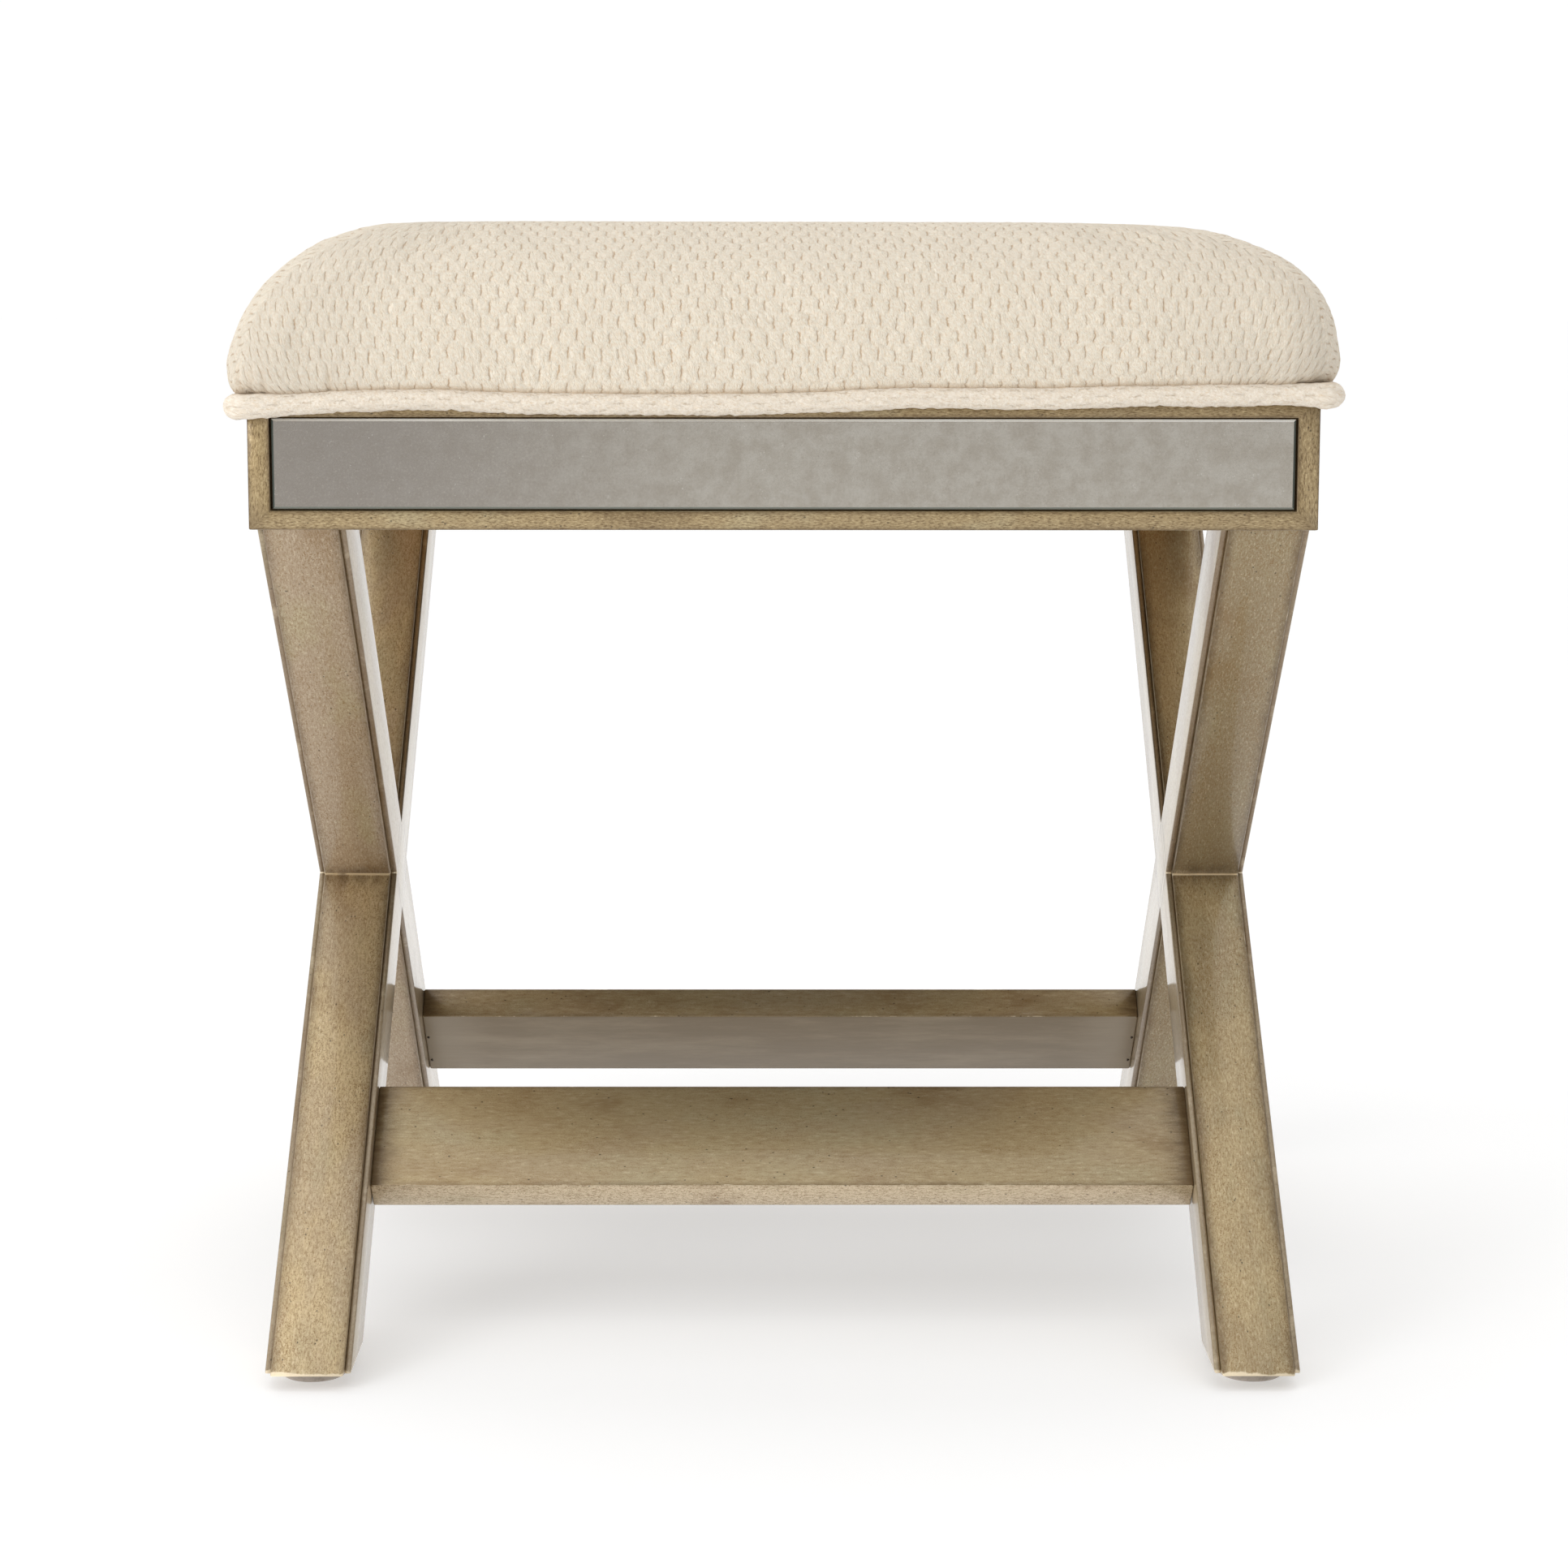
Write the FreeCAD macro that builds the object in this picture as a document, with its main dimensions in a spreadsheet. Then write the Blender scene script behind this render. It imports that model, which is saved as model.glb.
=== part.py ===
"""Upholstered vanity stool: a square mirrored apron on two crossed-leg end frames.

The frame of the part is +Z up, the floor is Z = 0, the front looks along -Y, and the
origin is the centre of the footprint. All sizes are millimetres.
"""
import FreeCAD, Part
import math
import os
import types

import Sketcher

# Driving dimensions, each written once: name, value, meaning.
DIMENSIONS = (
    ("apron_width", 457.2, "outside width of the apron"),
    ("apron_depth", 457.2, "outside depth of the apron"),
    ("apron_height", 56.0, "height of the apron rails"),
    ("rail_thick", 19.0, "thickness of the apron rails"),
    ("mirror_stile", 9.3, "rail left beside each mirror"),
    ("mirror_margin", 8.0, "rail left above and below each mirror"),
    ("mirror_thick", 3.0, "thickness of the mirror glass"),
    ("mirror_gap", 0.8, "gap around the mirror glass"),
    ("mirror_bevel", 1.3, "bevel on the front edge of the glass"),
    ("recess_depth", 4.2, "depth of the recess that holds the glass"),
    ("leg_height", 373.0, "level of the apron above the leg bottoms"),
    ("leg_width", 38.1, "side-to-side width of a leg"),
    ("leg_cut", 55.2, "front-to-back length of a level cut through a leg"),
    ("leg_side_inset", 2.4, "apron side to the outer face of the leg"),
    ("leg_end_inset", 3.0, "apron front to the leg at its top"),
    ("foot_overhang", 5.0, "foot standing out past the apron front"),
    ("leg_splay", 3.0, "how far the feet stand out sideways"),
    ("panel_thick", 2.9, "thickness of the crossed side panels"),
    ("panel_setback", 4.4, "level setback of the side panels from the leg faces"),
    ("glide_height", 7.0, "height of the foot glides"),
    ("glide_diameter", 29.0, "diameter of the foot glides"),
    ("glide_bevel", 1.5, "bevel around the bottom of a glide"),
    ("stretcher_width", 55.5, "width of the stretcher boards"),
    ("stretcher_thick", 17.5, "thickness of the stretcher boards"),
    ("stretcher_height", 77.0, "stretcher centre above the leg bottoms"),
    ("back_lift", 3.5, "back stretcher set towards the rear of its legs"),
    ("stretcher_fit", 0.1, "glue gap at each end of a stretcher"),
    ("dowel_diameter", 8.0, "diameter of the stretcher dowels"),
    ("dowel_half", 16.0, "length of a dowel in each piece"),
    ("dowel_upper", 17.0, "upper dowel above the board centre"),
    ("dowel_lower", 6.0, "lower dowel below the board centre"),
    ("brad_diameter", 2.0, "diameter of the slanted stretcher brads"),
    ("brad_length", 22.0, "length of the stretcher brads"),
    ("brad_end", 2.3, "brad head in from the end of the board"),
    ("brad_upper", 6.4, "upper brad above the board centre"),
    ("brad_lower", 17.5, "lower brad below the board centre"),
    ("bearer_width", 36.0, "width of the bearers inside the apron"),
    ("bearer_height", 22.0, "height of the bearers inside the apron"),
    ("block_leg", 48.0, "length of a corner block along each rail"),
    ("block_clear", 2.4, "clearance between a leg bolt and the corner block above it"),
    ("board_thick", 9.5, "thickness of the seat board"),
    ("board_inset", 3.4, "seat board in from the apron faces"),
    ("board_corner", 8.0, "corner radius of the seat board"),
    ("dust_thick", 0.8, "thickness of the dust cover"),
    ("dust_inset", 4.0, "dust cover in from the rails"),
    ("staple_crown", 10.0, "length of a staple crown"),
    ("staple_wire", 0.9, "thickness of the staple wire"),
    ("staple_leg", 6.0, "length of a staple leg"),
    ("staple_inset", 6.0, "staple in from the edge of the dust cover"),
    ("cushion_height", 79.0, "top of the cushion above the apron"),
    ("cushion_overhang", 12.4, "cushion standing out past the apron"),
    ("cushion_tuck", 4.0, "cushion drawn in at its bottom edge"),
    ("cushion_side", 18.0, "height of the upright part of the cushion sides"),
    ("cushion_roll", 74.0, "level depth of the rounded cushion edge"),
    ("cushion_corner", 28.0, "corner radius of the cushion at its sides"),
    ("cover_thick", 3.0, "thickness of the cover cloth with its wadding"),
    ("welt_diameter", 11.0, "diameter of the welt cord"),
    ("welt_inner", 0.4, "inside radius of the welt at the corners"),
    ("soft_gap", 0.3, "gap between soft pieces and their neighbours"),
    ("bolt_diameter", 6.0, "diameter of the leg bolts"),
    ("bolt_head", 10.0, "diameter of a bolt head"),
    ("bolt_head_height", 6.0, "height of a bolt head"),
    ("bolt_socket", 5.0, "width of the hexagon socket"),
    ("bolt_reach", 12.0, "length of bolt in the leg insert"),
    ("bolt_shift", 6.0, "bolt set towards the slope of the leg"),
    ("washer_diameter", 16.0, "diameter of the leg washers"),
    ("washer_thick", 1.6, "thickness of the leg washers"),
    ("insert_diameter", 10.0, "diameter of the threaded inserts"),
    ("insert_length", 15.0, "length of the threaded inserts"),
    ("hole_gap", 0.2, "radial clearance around fasteners"),
    ("screw_diameter", 4.0, "diameter of the wood screws"),
    ("screw_head", 8.0, "diameter of a wood screw head"),
    ("screw_head_height", 2.4, "height of a wood screw head"),
    ("screw_bite", 10.0, "length of a wood screw in the rail"),
    ("screw_seat", 16.0, "wood left between a sunk screw head and the rail"),
    ("screw_in", 20.0, "corner block screw in from the inner corner"),
    ("screw_rise", 6.0, "corner block screws from its bottom and top"),
    ("seat_screw_in", 13.0, "seat screw in from the inner corner"),
    ("seat_screw_bite", 7.0, "length of a seat screw in the board"),
    ("bearer_screw_rise", 11.0, "bearer screws above the apron bottom"),
    ("bearer_screw_step", 110.0, "spacing of the bearer screws"),
    ("glide_screw_reach", 18.0, "length of a glide screw in the foot"),
)

STAPLES_PER_SIDE = 4
BEARER_SCREWS = 3
PILLOW_BANDS = 6
BRAD_ANGLE = 45
UP = FreeCAD.Vector(0, 0, 1)


class Measure:
    """A length that holds its value and the spreadsheet formula it comes from."""

    def __init__(self, formula, value):
        self.formula = formula
        self.value = value

    def combine(self, other, sign, value):
        other_formula = other.formula if isinstance(other, Measure) else repr(other)
        return Measure("(%s %s %s)" % (self.formula, sign, other_formula), value)

    def __add__(self, other):
        return self.combine(other, "+", self.value + number(other))

    def __sub__(self, other):
        return self.combine(other, "-", self.value - number(other))

    def __mul__(self, other):
        return self.combine(other, "*", self.value * number(other))

    def __truediv__(self, other):
        return self.combine(other, "/", self.value / number(other))

    def __neg__(self):
        return Measure("(-1 * %s)" % self.formula, -self.value)

    def __str__(self):
        return self.formula


NOTHING = Measure("0", 0.0)


def number(measure):
    """The value of a measure or of a plain number."""
    return measure.value if isinstance(measure, Measure) else float(measure)


def root_sum(first, second):
    """The long side of a right triangle with the two short sides given."""
    return Measure("sqrt(%s * %s + %s * %s)" % (first, first, second, second),
                   math.hypot(number(first), number(second)))


def make_sheet(doc):
    """The spreadsheet of driving dimensions, and a namespace of its measures."""
    sheet = doc.addObject("Spreadsheet::Sheet", "Sizes")
    measures = types.SimpleNamespace()
    for row, (name, value, meaning) in enumerate(DIMENSIONS, start=1):
        sheet.set("A%d" % row, str(value))
        sheet.set("B%d" % row, meaning)
        sheet.setAlias("A%d" % row, name)
        setattr(measures, name, Measure("Sizes." + name, value))
    doc.recompute()
    return measures


def place(item, x=0, y=0, z=0, turn="rotationz(0)"):
    """Bind the placement of an object to the sheet."""
    item.setExpression("Placement", "placement(vector(%s; %s; %s); %s)" % (x, y, z, turn))
    return item


def new_body(doc, label):
    """An empty PartDesign body."""
    body = doc.addObject("PartDesign::Body", label)
    body.Label = label
    return body


def new_sketch(body, name, role, offset):
    """A sketch on one of the body's own origin planes, moved along its normal."""
    sketch = body.newObject("Sketcher::SketchObject", name)
    plane = [feature for feature in body.Origin.OriginFeatures if feature.Role == role][0]
    sketch.AttachmentSupport = [(plane, "")]
    sketch.MapMode = "FlatFace"
    sketch.AttachmentOffset = FreeCAD.Placement(UP * number(offset), FreeCAD.Rotation())
    sketch.setExpression("AttachmentOffset.Base.z", str(offset))
    return sketch


def pin_point(sketch, edge, end, kind, measure):
    """Fix one coordinate of a sketch point from the origin."""
    value = number(measure)
    if abs(value) < 1e-9:
        sketch.addConstraint(Sketcher.Constraint(
            "PointOnObject", edge, end, -2 if kind == "DistanceX" else -1))
        return
    if value > 0:
        index = sketch.addConstraint(Sketcher.Constraint(kind, -1, 1, edge, end, value))
        sketch.setExpression("Constraints[%d]" % index, str(measure))
    else:
        index = sketch.addConstraint(Sketcher.Constraint(kind, edge, end, -1, 1, -value))
        sketch.setExpression("Constraints[%d]" % index, "-1 * %s" % measure)


def polygon(body, name, role, offset, corners):
    """A closed sketch of straight edges whose corners are measures from the origin."""
    sketch = new_sketch(body, name, role, offset)
    points = [FreeCAD.Vector(number(x), number(y), 0) for x, y in corners]
    count = len(points)
    for index, point in enumerate(points):
        sketch.addGeometry(Part.LineSegment(point, points[(index + 1) % count]), False)
    for index, (x, y) in enumerate(corners):
        sketch.addConstraint(Sketcher.Constraint("Coincident", index, 2, (index + 1) % count, 1))
        pin_point(sketch, index, 1, "DistanceX", x)
        pin_point(sketch, index, 1, "DistanceY", y)
    return sketch


def rectangle(body, name, role, offset, low, high):
    """A rectangular sketch between two opposite corners."""
    corners = [(low[0], low[1]), (high[0], low[1]), (high[0], high[1]), (low[0], high[1])]
    return polygon(body, name, role, offset, corners)


def circle(body, name, role, offset, centre, diameter):
    """A sketch of one circle."""
    sketch = new_sketch(body, name, role, offset)
    middle = FreeCAD.Vector(number(centre[0]), number(centre[1]), 0)
    sketch.addGeometry(Part.Circle(middle, UP, number(diameter) / 2), False)
    pin_point(sketch, 0, 3, "DistanceX", centre[0])
    pin_point(sketch, 0, 3, "DistanceY", centre[1])
    index = sketch.addConstraint(Sketcher.Constraint("Diameter", 0, number(diameter)))
    sketch.setExpression("Constraints[%d]" % index, str(diameter))
    return sketch


def rounded_rectangle(body, name, offset, half_x, half_y, radius):
    """A level sketch of a rectangle with equal round corners, centred on the origin."""
    sketch = new_sketch(body, name, "XY_Plane", offset)
    reach_x, reach_y, bend = number(half_x), number(half_y), number(radius)
    in_x, in_y = reach_x - bend, reach_y - bend
    ends = [((-in_x, -reach_y), (in_x, -reach_y)), ((reach_x, -in_y), (reach_x, in_y)),
            ((in_x, reach_y), (-in_x, reach_y)), ((-reach_x, in_y), (-reach_x, -in_y))]
    centres = [(in_x, -in_y), (in_x, in_y), (-in_x, in_y), (-in_x, -in_y)]
    for start, end in ends:
        sketch.addGeometry(Part.LineSegment(FreeCAD.Vector(*start, 0), FreeCAD.Vector(*end, 0)), False)
    for quarter, centre in enumerate(centres):
        ring = Part.Circle(FreeCAD.Vector(*centre, 0), UP, bend)
        turn = math.radians(90 * quarter - 90)
        sketch.addGeometry(Part.ArcOfCircle(ring, turn, turn + math.pi / 2), False)
    for side in range(4):
        arc, following = side + 4, (side + 1) % 4
        sketch.addConstraint(Sketcher.Constraint("Tangent", side, 2, arc, 1))
        sketch.addConstraint(Sketcher.Constraint("Tangent", arc, 2, following, 1))
        level = "Horizontal" if side % 2 == 0 else "Vertical"
        sketch.addConstraint(Sketcher.Constraint(level, side))
        if side:
            sketch.addConstraint(Sketcher.Constraint("Equal", 4, arc))
    index = sketch.addConstraint(Sketcher.Constraint("Radius", 4, bend))
    sketch.setExpression("Constraints[%d]" % index, str(radius))
    pin_point(sketch, 0, 1, "DistanceY", -half_y)
    pin_point(sketch, 1, 1, "DistanceX", half_x)
    pin_point(sketch, 2, 1, "DistanceY", half_y)
    pin_point(sketch, 3, 1, "DistanceX", -half_x)
    return sketch


def pad(body, sketch, length, symmetric=False):
    """Raise a sketch along its normal."""
    feature = body.newObject("PartDesign::Pad", sketch.Name + "_pad")
    feature.Profile = sketch
    feature.SideType = "Symmetric" if symmetric else "One side"
    feature.setExpression("Length", str(length))
    return feature


def pocket(body, sketch, depth):
    """Cut a sketch into the body, against the sketch's normal."""
    feature = body.newObject("PartDesign::Pocket", sketch.Name + "_pocket")
    feature.Profile = sketch
    feature.setExpression("Length", str(depth))
    return feature


def loft(body, sections, name):
    """Join level sections by straight sides."""
    feature = body.newObject("PartDesign::AdditiveLoft", name)
    feature.Profile = sections[0]
    feature.Sections = sections[1:]
    feature.Ruled = True
    return feature


def edges_of(shape, test):
    """Names of the edges whose end points all pass a test."""
    return ["Edge%d" % (index + 1) for index, edge in enumerate(shape.Edges)
            if all(test(vertex.Point) for vertex in edge.Vertexes)]


def chamfer(body, base, names, size):
    """Bevel the named edges."""
    feature = body.newObject("PartDesign::Chamfer", base.Name + "_chamfer")
    feature.Base = (base, names)
    feature.setExpression("Size", str(size))
    return feature


def rod(doc, name, diameter, length):
    """A round rod standing on its own origin, still to be placed."""
    item = doc.addObject("Part::Cylinder", name)
    item.setExpression("Radius", "%s / 2" % diameter)
    item.setExpression("Height", str(length))
    return item


def cone(doc, name, low_diameter, high_diameter, height):
    """A cone standing on its own origin, still to be placed."""
    item = doc.addObject("Part::Cone", name)
    item.setExpression("Radius1", "%s / 2" % low_diameter)
    item.setExpression("Radius2", "%s / 2" % high_diameter)
    item.setExpression("Height", str(height))
    return item


def fuse(doc, name, pieces):
    """One solid from touching pieces."""
    item = doc.addObject("Part::MultiFuse", name)
    item.Shapes = pieces
    return item


def group(doc, label, pieces):
    """One node that holds several separate solids."""
    item = doc.addObject("Part::Compound", label)
    item.Links = pieces
    item.Label = label
    return item


def cut(doc, label, base, tools):
    """The base with every tool taken out of it; the tools must not overlap each other."""
    tool = tools[0]
    if len(tools) > 1:
        tool = doc.addObject("Part::Compound", label + "_tools")
        tool.Links = tools
    item = doc.addObject("Part::Cut", label)
    item.Base = base
    item.Tool = tool
    item.Label = label
    return item


# Turns about the vertical axis for pieces that repeat around the stool.
SIDES = (("front", 0), ("right", 90), ("back", 180), ("left", 270))
CORNERS = (("front_right", 1, -1), ("back_right", 1, 1), ("back_left", -1, 1), ("front_left", -1, -1))
ENDS = (("right", 0), ("left", 180))


class Stool:
    """Sizes that several pieces share, worked out from the driving dimensions."""

    def __init__(self, doc, sizes):
        self.doc = doc
        self.sizes = sizes
        self.pieces = []
        self.half_width = sizes.apron_width / 2
        self.half_depth = sizes.apron_depth / 2
        self.leg_bottom = sizes.glide_height
        self.apron_bottom = sizes.glide_height + sizes.leg_height
        self.apron_top = self.apron_bottom + sizes.apron_height
        self.inner_x = self.half_width - sizes.rail_thick
        self.inner_y = self.half_depth - sizes.rail_thick
        self.leg_outer = self.half_width - sizes.leg_side_inset
        self.leg_inner = self.leg_outer - sizes.leg_width
        self.top_centre = self.half_depth - sizes.leg_end_inset - sizes.leg_cut / 2
        self.foot_centre = self.half_depth + sizes.foot_overhang - sizes.leg_cut / 2
        self.leg_run = self.top_centre + self.foot_centre
        self.leg_slant = root_sum(self.leg_run, sizes.leg_height)
        self.board_top = self.apron_top + sizes.board_thick
        self.cushion_top = self.apron_top + sizes.cushion_height
        self.lip_bottom = self.board_top - sizes.soft_gap - sizes.cover_thick
        self.board_x = self.half_width - sizes.board_inset
        self.board_y = self.half_depth - sizes.board_inset
        self.bolt_x = (self.leg_inner + self.inner_x) / 2
        self.bolt_y = self.top_centre - sizes.bolt_shift
        self.hole = sizes.hole_gap * 2
        self.bolt_top = self.apron_bottom + sizes.bearer_height + sizes.washer_thick + sizes.bolt_head_height
        self.block_bottom = self.bolt_top + sizes.block_clear
        self.block_height = self.apron_top - self.block_bottom

    def keep(self, item):
        """Add a finished sub-part to the list that is written out."""
        self.pieces.append(item)
        return item

    def x_at(self, base, height):
        """Where an upright plane of the splayed frame lies at a height above the leg bottoms."""
        drop = self.sizes.leg_height - height
        return base + self.sizes.leg_splay * drop / self.sizes.leg_height


def sloped_bar(stool, body, name, near, far, setback, rises):
    """A leg-shaped bar between two side planes, level cut at both ends.

    It is padded from its foot along the slope of the leg; rises is +1 when its top is at the back.
    """
    sizes = stool.sizes
    half_cut = sizes.leg_cut / 2 - setback
    splay = sizes.leg_splay
    middle = -stool.foot_centre * rises
    foot = rectangle(body, name + "_foot", "XY_Plane", stool.leg_bottom,
                     (near + splay, middle - half_cut), (far + splay, middle + half_cut))
    bar = pad(body, foot, sizes.leg_height)
    bar.UseCustomVector = True
    bar.AlongSketchNormal = True
    slope = (-splay, stool.leg_run * rises, sizes.leg_height)
    bar.Direction = FreeCAD.Vector(*[number(part) for part in slope])
    for axis, part in zip("xyz", slope):
        bar.setExpression("Direction." + axis, str(part))
    return bar


def leg(stool, side, foot, rises, turn, tools):
    """One leg core, half lapped where it crosses the other leg of its frame."""
    sizes = stool.sizes
    name = "%s_%s_leg" % (side, foot)
    near = stool.leg_inner + sizes.panel_thick
    far = stool.leg_outer - sizes.panel_thick
    middle = (near + far) / 2
    spare = sizes.panel_thick
    lap_near, lap_far = (middle, far + spare) if rises > 0 else (near - spare, middle)
    body = new_body(stool.doc, name + "_blank")
    sloped_bar(stool, body, name, near, far, NOTHING, rises)
    lap = new_body(stool.doc, name + "_lap")
    sloped_bar(stool, lap, name + "_lap", lap_near, lap_far, NOTHING, -rises)
    for item in (body, lap):
        place(item, turn="rotationz(%d)" % turn)
    return stool.keep(cut(stool.doc, name, body, [lap] + tools))


def side_panel(stool, side, layer, turn, tools):
    """One crossed panel on the inner or outer side of an end frame."""
    sizes = stool.sizes
    name = "%s_%s_panel" % (side, layer)
    if layer == "inner":
        near, far = stool.leg_inner, stool.leg_inner + sizes.panel_thick
    else:
        near, far = stool.leg_outer - sizes.panel_thick, stool.leg_outer
    body = new_body(stool.doc, name if layer == "outer" else name + "_blank")
    sloped_bar(stool, body, name + "_first", near, far, sizes.panel_setback, 1)
    sloped_bar(stool, body, name + "_second", near, far, sizes.panel_setback, -1)
    place(body, turn="rotationz(%d)" % turn)
    if layer == "outer":
        return stool.keep(body)
    return stool.keep(cut(stool.doc, name, body, tools))


def apron_rails(stool, tools):
    """Four mitred rails, each with a recess for its mirror in the outer face."""
    sizes = stool.sizes
    for side, turn in SIDES:
        length, reach = stool.half_width, stool.half_depth
        if side in ("left", "right"):
            length, reach = stool.half_depth, stool.half_width
        thick = sizes.rail_thick
        body = new_body(stool.doc, "apron_%s_rail_blank" % side)
        plan = polygon(body, side + "_rail_plan", "XY_Plane", stool.apron_bottom,
                       [(-length, -reach), (length, -reach),
                        (length - thick, thick - reach), (thick - length, thick - reach)])
        pad(body, plan, sizes.apron_height)
        low = stool.apron_bottom + sizes.mirror_margin
        high = stool.apron_top - sizes.mirror_margin
        span = length - sizes.mirror_stile
        recess = rectangle(body, side + "_rail_recess", "XZ_Plane", reach, (-span, low), (span, high))
        pocket(body, recess, sizes.recess_depth)
        place(body, turn="rotationz(%d)" % turn)
        stool.keep(cut(stool.doc, "apron_%s_rail" % side, body, tools))


def mirrors(stool):
    """Four bevelled mirror strips, each on the floor of its recess."""
    sizes = stool.sizes
    for side, turn in SIDES:
        length, reach = stool.half_width, stool.half_depth
        if side in ("left", "right"):
            length, reach = stool.half_depth, stool.half_width
        span = length - sizes.mirror_stile - sizes.mirror_gap
        margin = sizes.mirror_margin + sizes.mirror_gap
        back = reach - sizes.recess_depth
        body = new_body(stool.doc, side + "_mirror")
        plan = rectangle(body, side + "_mirror_plan", "XZ_Plane", back,
                         (-span, stool.apron_bottom + margin), (span, stool.apron_top - margin))
        plate = pad(body, plan, sizes.mirror_thick)
        stool.doc.recompute()
        front = -(back + sizes.mirror_thick).value
        names = edges_of(plate.Shape, lambda point: abs(point.y - front) < 0.01)
        chamfer(body, plate, names, sizes.mirror_bevel)
        place(body, turn="rotationz(%d)" % turn)
        stool.keep(body)


def corner_blocks(stool, tools):
    """Four triangular blocks glued into the apron corners under the seat board."""
    sizes = stool.sizes
    for corner, side_x, side_y in CORNERS:
        body = new_body(stool.doc, "corner_block_%s_blank" % corner)
        edge = sizes.block_leg
        x, y = stool.inner_x * side_x, stool.inner_y * side_y
        plan = polygon(body, corner + "_block_plan", "XY_Plane", stool.block_bottom,
                       [(x, y), (x - edge * side_x, y), (x, y - edge * side_y)])
        pad(body, plan, stool.block_height)
        stool.keep(cut(stool.doc, "corner_block_" + corner, body, tools))


def bearers(stool, tools):
    """Two bearers inside the apron that the legs are bolted to."""
    sizes = stool.sizes
    for side, turn in ENDS:
        body = new_body(stool.doc, side + "_bearer_blank")
        near = stool.inner_x - sizes.bearer_width
        plan = rectangle(body, side + "_bearer_plan", "XY_Plane", stool.apron_bottom,
                         (near, -stool.inner_y), (stool.inner_x, stool.inner_y))
        pad(body, plan, sizes.bearer_height)
        place(body, turn="rotationz(%d)" % turn)
        stool.keep(cut(stool.doc, side + "_bearer", body, tools))


def wood_screw(stool, name, length, x, y, z, turn):
    """A wood screw with its head at the given point, pointing along its turned +Z."""
    sizes = stool.sizes
    shank = place(rod(stool.doc, name + "_shank", sizes.screw_diameter, length), x, y, z, turn)
    head = cone(stool.doc, name + "_head", sizes.screw_head, sizes.screw_diameter,
                sizes.screw_head_height)
    place(head, x, y, z, turn)
    return fuse(stool.doc, name, [shank, head])


def screw_hole(stool, name, length, sink, x, y, z, turn):
    """The hole for a wood screw: a clearance bore and a sunk bore behind the head."""
    sizes = stool.sizes
    bore = rod(stool.doc, name + "_bore", sizes.screw_diameter + stool.hole, length + sizes.hole_gap)
    place(bore, x, y, z, turn)
    wide = sizes.screw_head + stool.hole
    seat = cone(stool.doc, name + "_seat", wide, sizes.screw_diameter + stool.hole,
                sizes.screw_head_height)
    place(seat, x, y, z, turn)
    well = rod(stool.doc, name + "_well", wide, sink)
    place(well, x, y, z, turn + " * rotationx(180)")
    return fuse(stool.doc, name + "_hole", [bore, seat, well])


def block_screws(stool):
    """Two level screws through each corner block into its rails and an upright one into the seat board."""
    sizes = stool.sizes
    screws, seat_screws, holes = [], [], []
    low = stool.block_bottom + sizes.screw_rise
    high = stool.apron_top - sizes.screw_rise
    length = sizes.screw_seat + sizes.screw_bite
    sink = sizes.block_leg - sizes.screw_in - sizes.screw_seat + sizes.screw_head
    for corner, side_x, side_y in CORNERS:
        x, y = stool.inner_x * side_x, stool.inner_y * side_y
        spots = (("end", x - sizes.screw_in * side_x, y - sizes.screw_seat * side_y, low,
                  "rotationx(%d)" % (-90 * side_y)),
                 ("side", x - sizes.screw_seat * side_x, y - sizes.screw_in * side_y, high,
                  "rotationy(%d)" % (90 * side_x)))
        corner_holes = []
        for spot, spot_x, spot_y, spot_z, turn in spots:
            name = "block_screw_%s_%s" % (corner, spot)
            screws.append(wood_screw(stool, name, length, spot_x, spot_y, spot_z, turn))
            corner_holes.append(screw_hole(stool, name, length, sink, spot_x, spot_y, spot_z, turn))
        name = "seat_screw_" + corner
        upright = stool.block_height + sizes.seat_screw_bite
        seat_spot = (x - sizes.seat_screw_in * side_x, y - sizes.seat_screw_in * side_y,
                     stool.block_bottom, "rotationz(0)")
        seat_screws.append(wood_screw(stool, name, upright, *seat_spot))
        corner_holes.append(screw_hole(stool, name, upright, sizes.screw_head_height, *seat_spot))
        holes.append(fuse(stool.doc, "block_holes_" + corner, corner_holes))
    stool.keep(group(stool.doc, "corner_block_screws", screws))
    stool.keep(group(stool.doc, "seat_screws", seat_screws))
    return holes


def bearer_screws(stool):
    """Level screws through each bearer into the side rail behind it."""
    sizes = stool.sizes
    screws, holes = [], []
    length = sizes.screw_seat + sizes.screw_bite
    height = stool.apron_bottom + sizes.bearer_screw_rise
    for side, turn in ENDS:
        sign = 1 if turn == 0 else -1
        x = (stool.inner_x - sizes.screw_seat) * sign
        for index in range(BEARER_SCREWS):
            y = sizes.bearer_screw_step * (index - (BEARER_SCREWS - 1) / 2)
            name = "bearer_screw_%s_%d" % (side, index)
            point = "rotationy(%d)" % (90 * sign)
            screws.append(wood_screw(stool, name, length, x, y, height, point))
            holes.append(screw_hole(stool, name, length, sizes.bearer_width, x, y, height, point))
    stool.keep(group(stool.doc, "bearer_screws", screws))
    return holes


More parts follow.
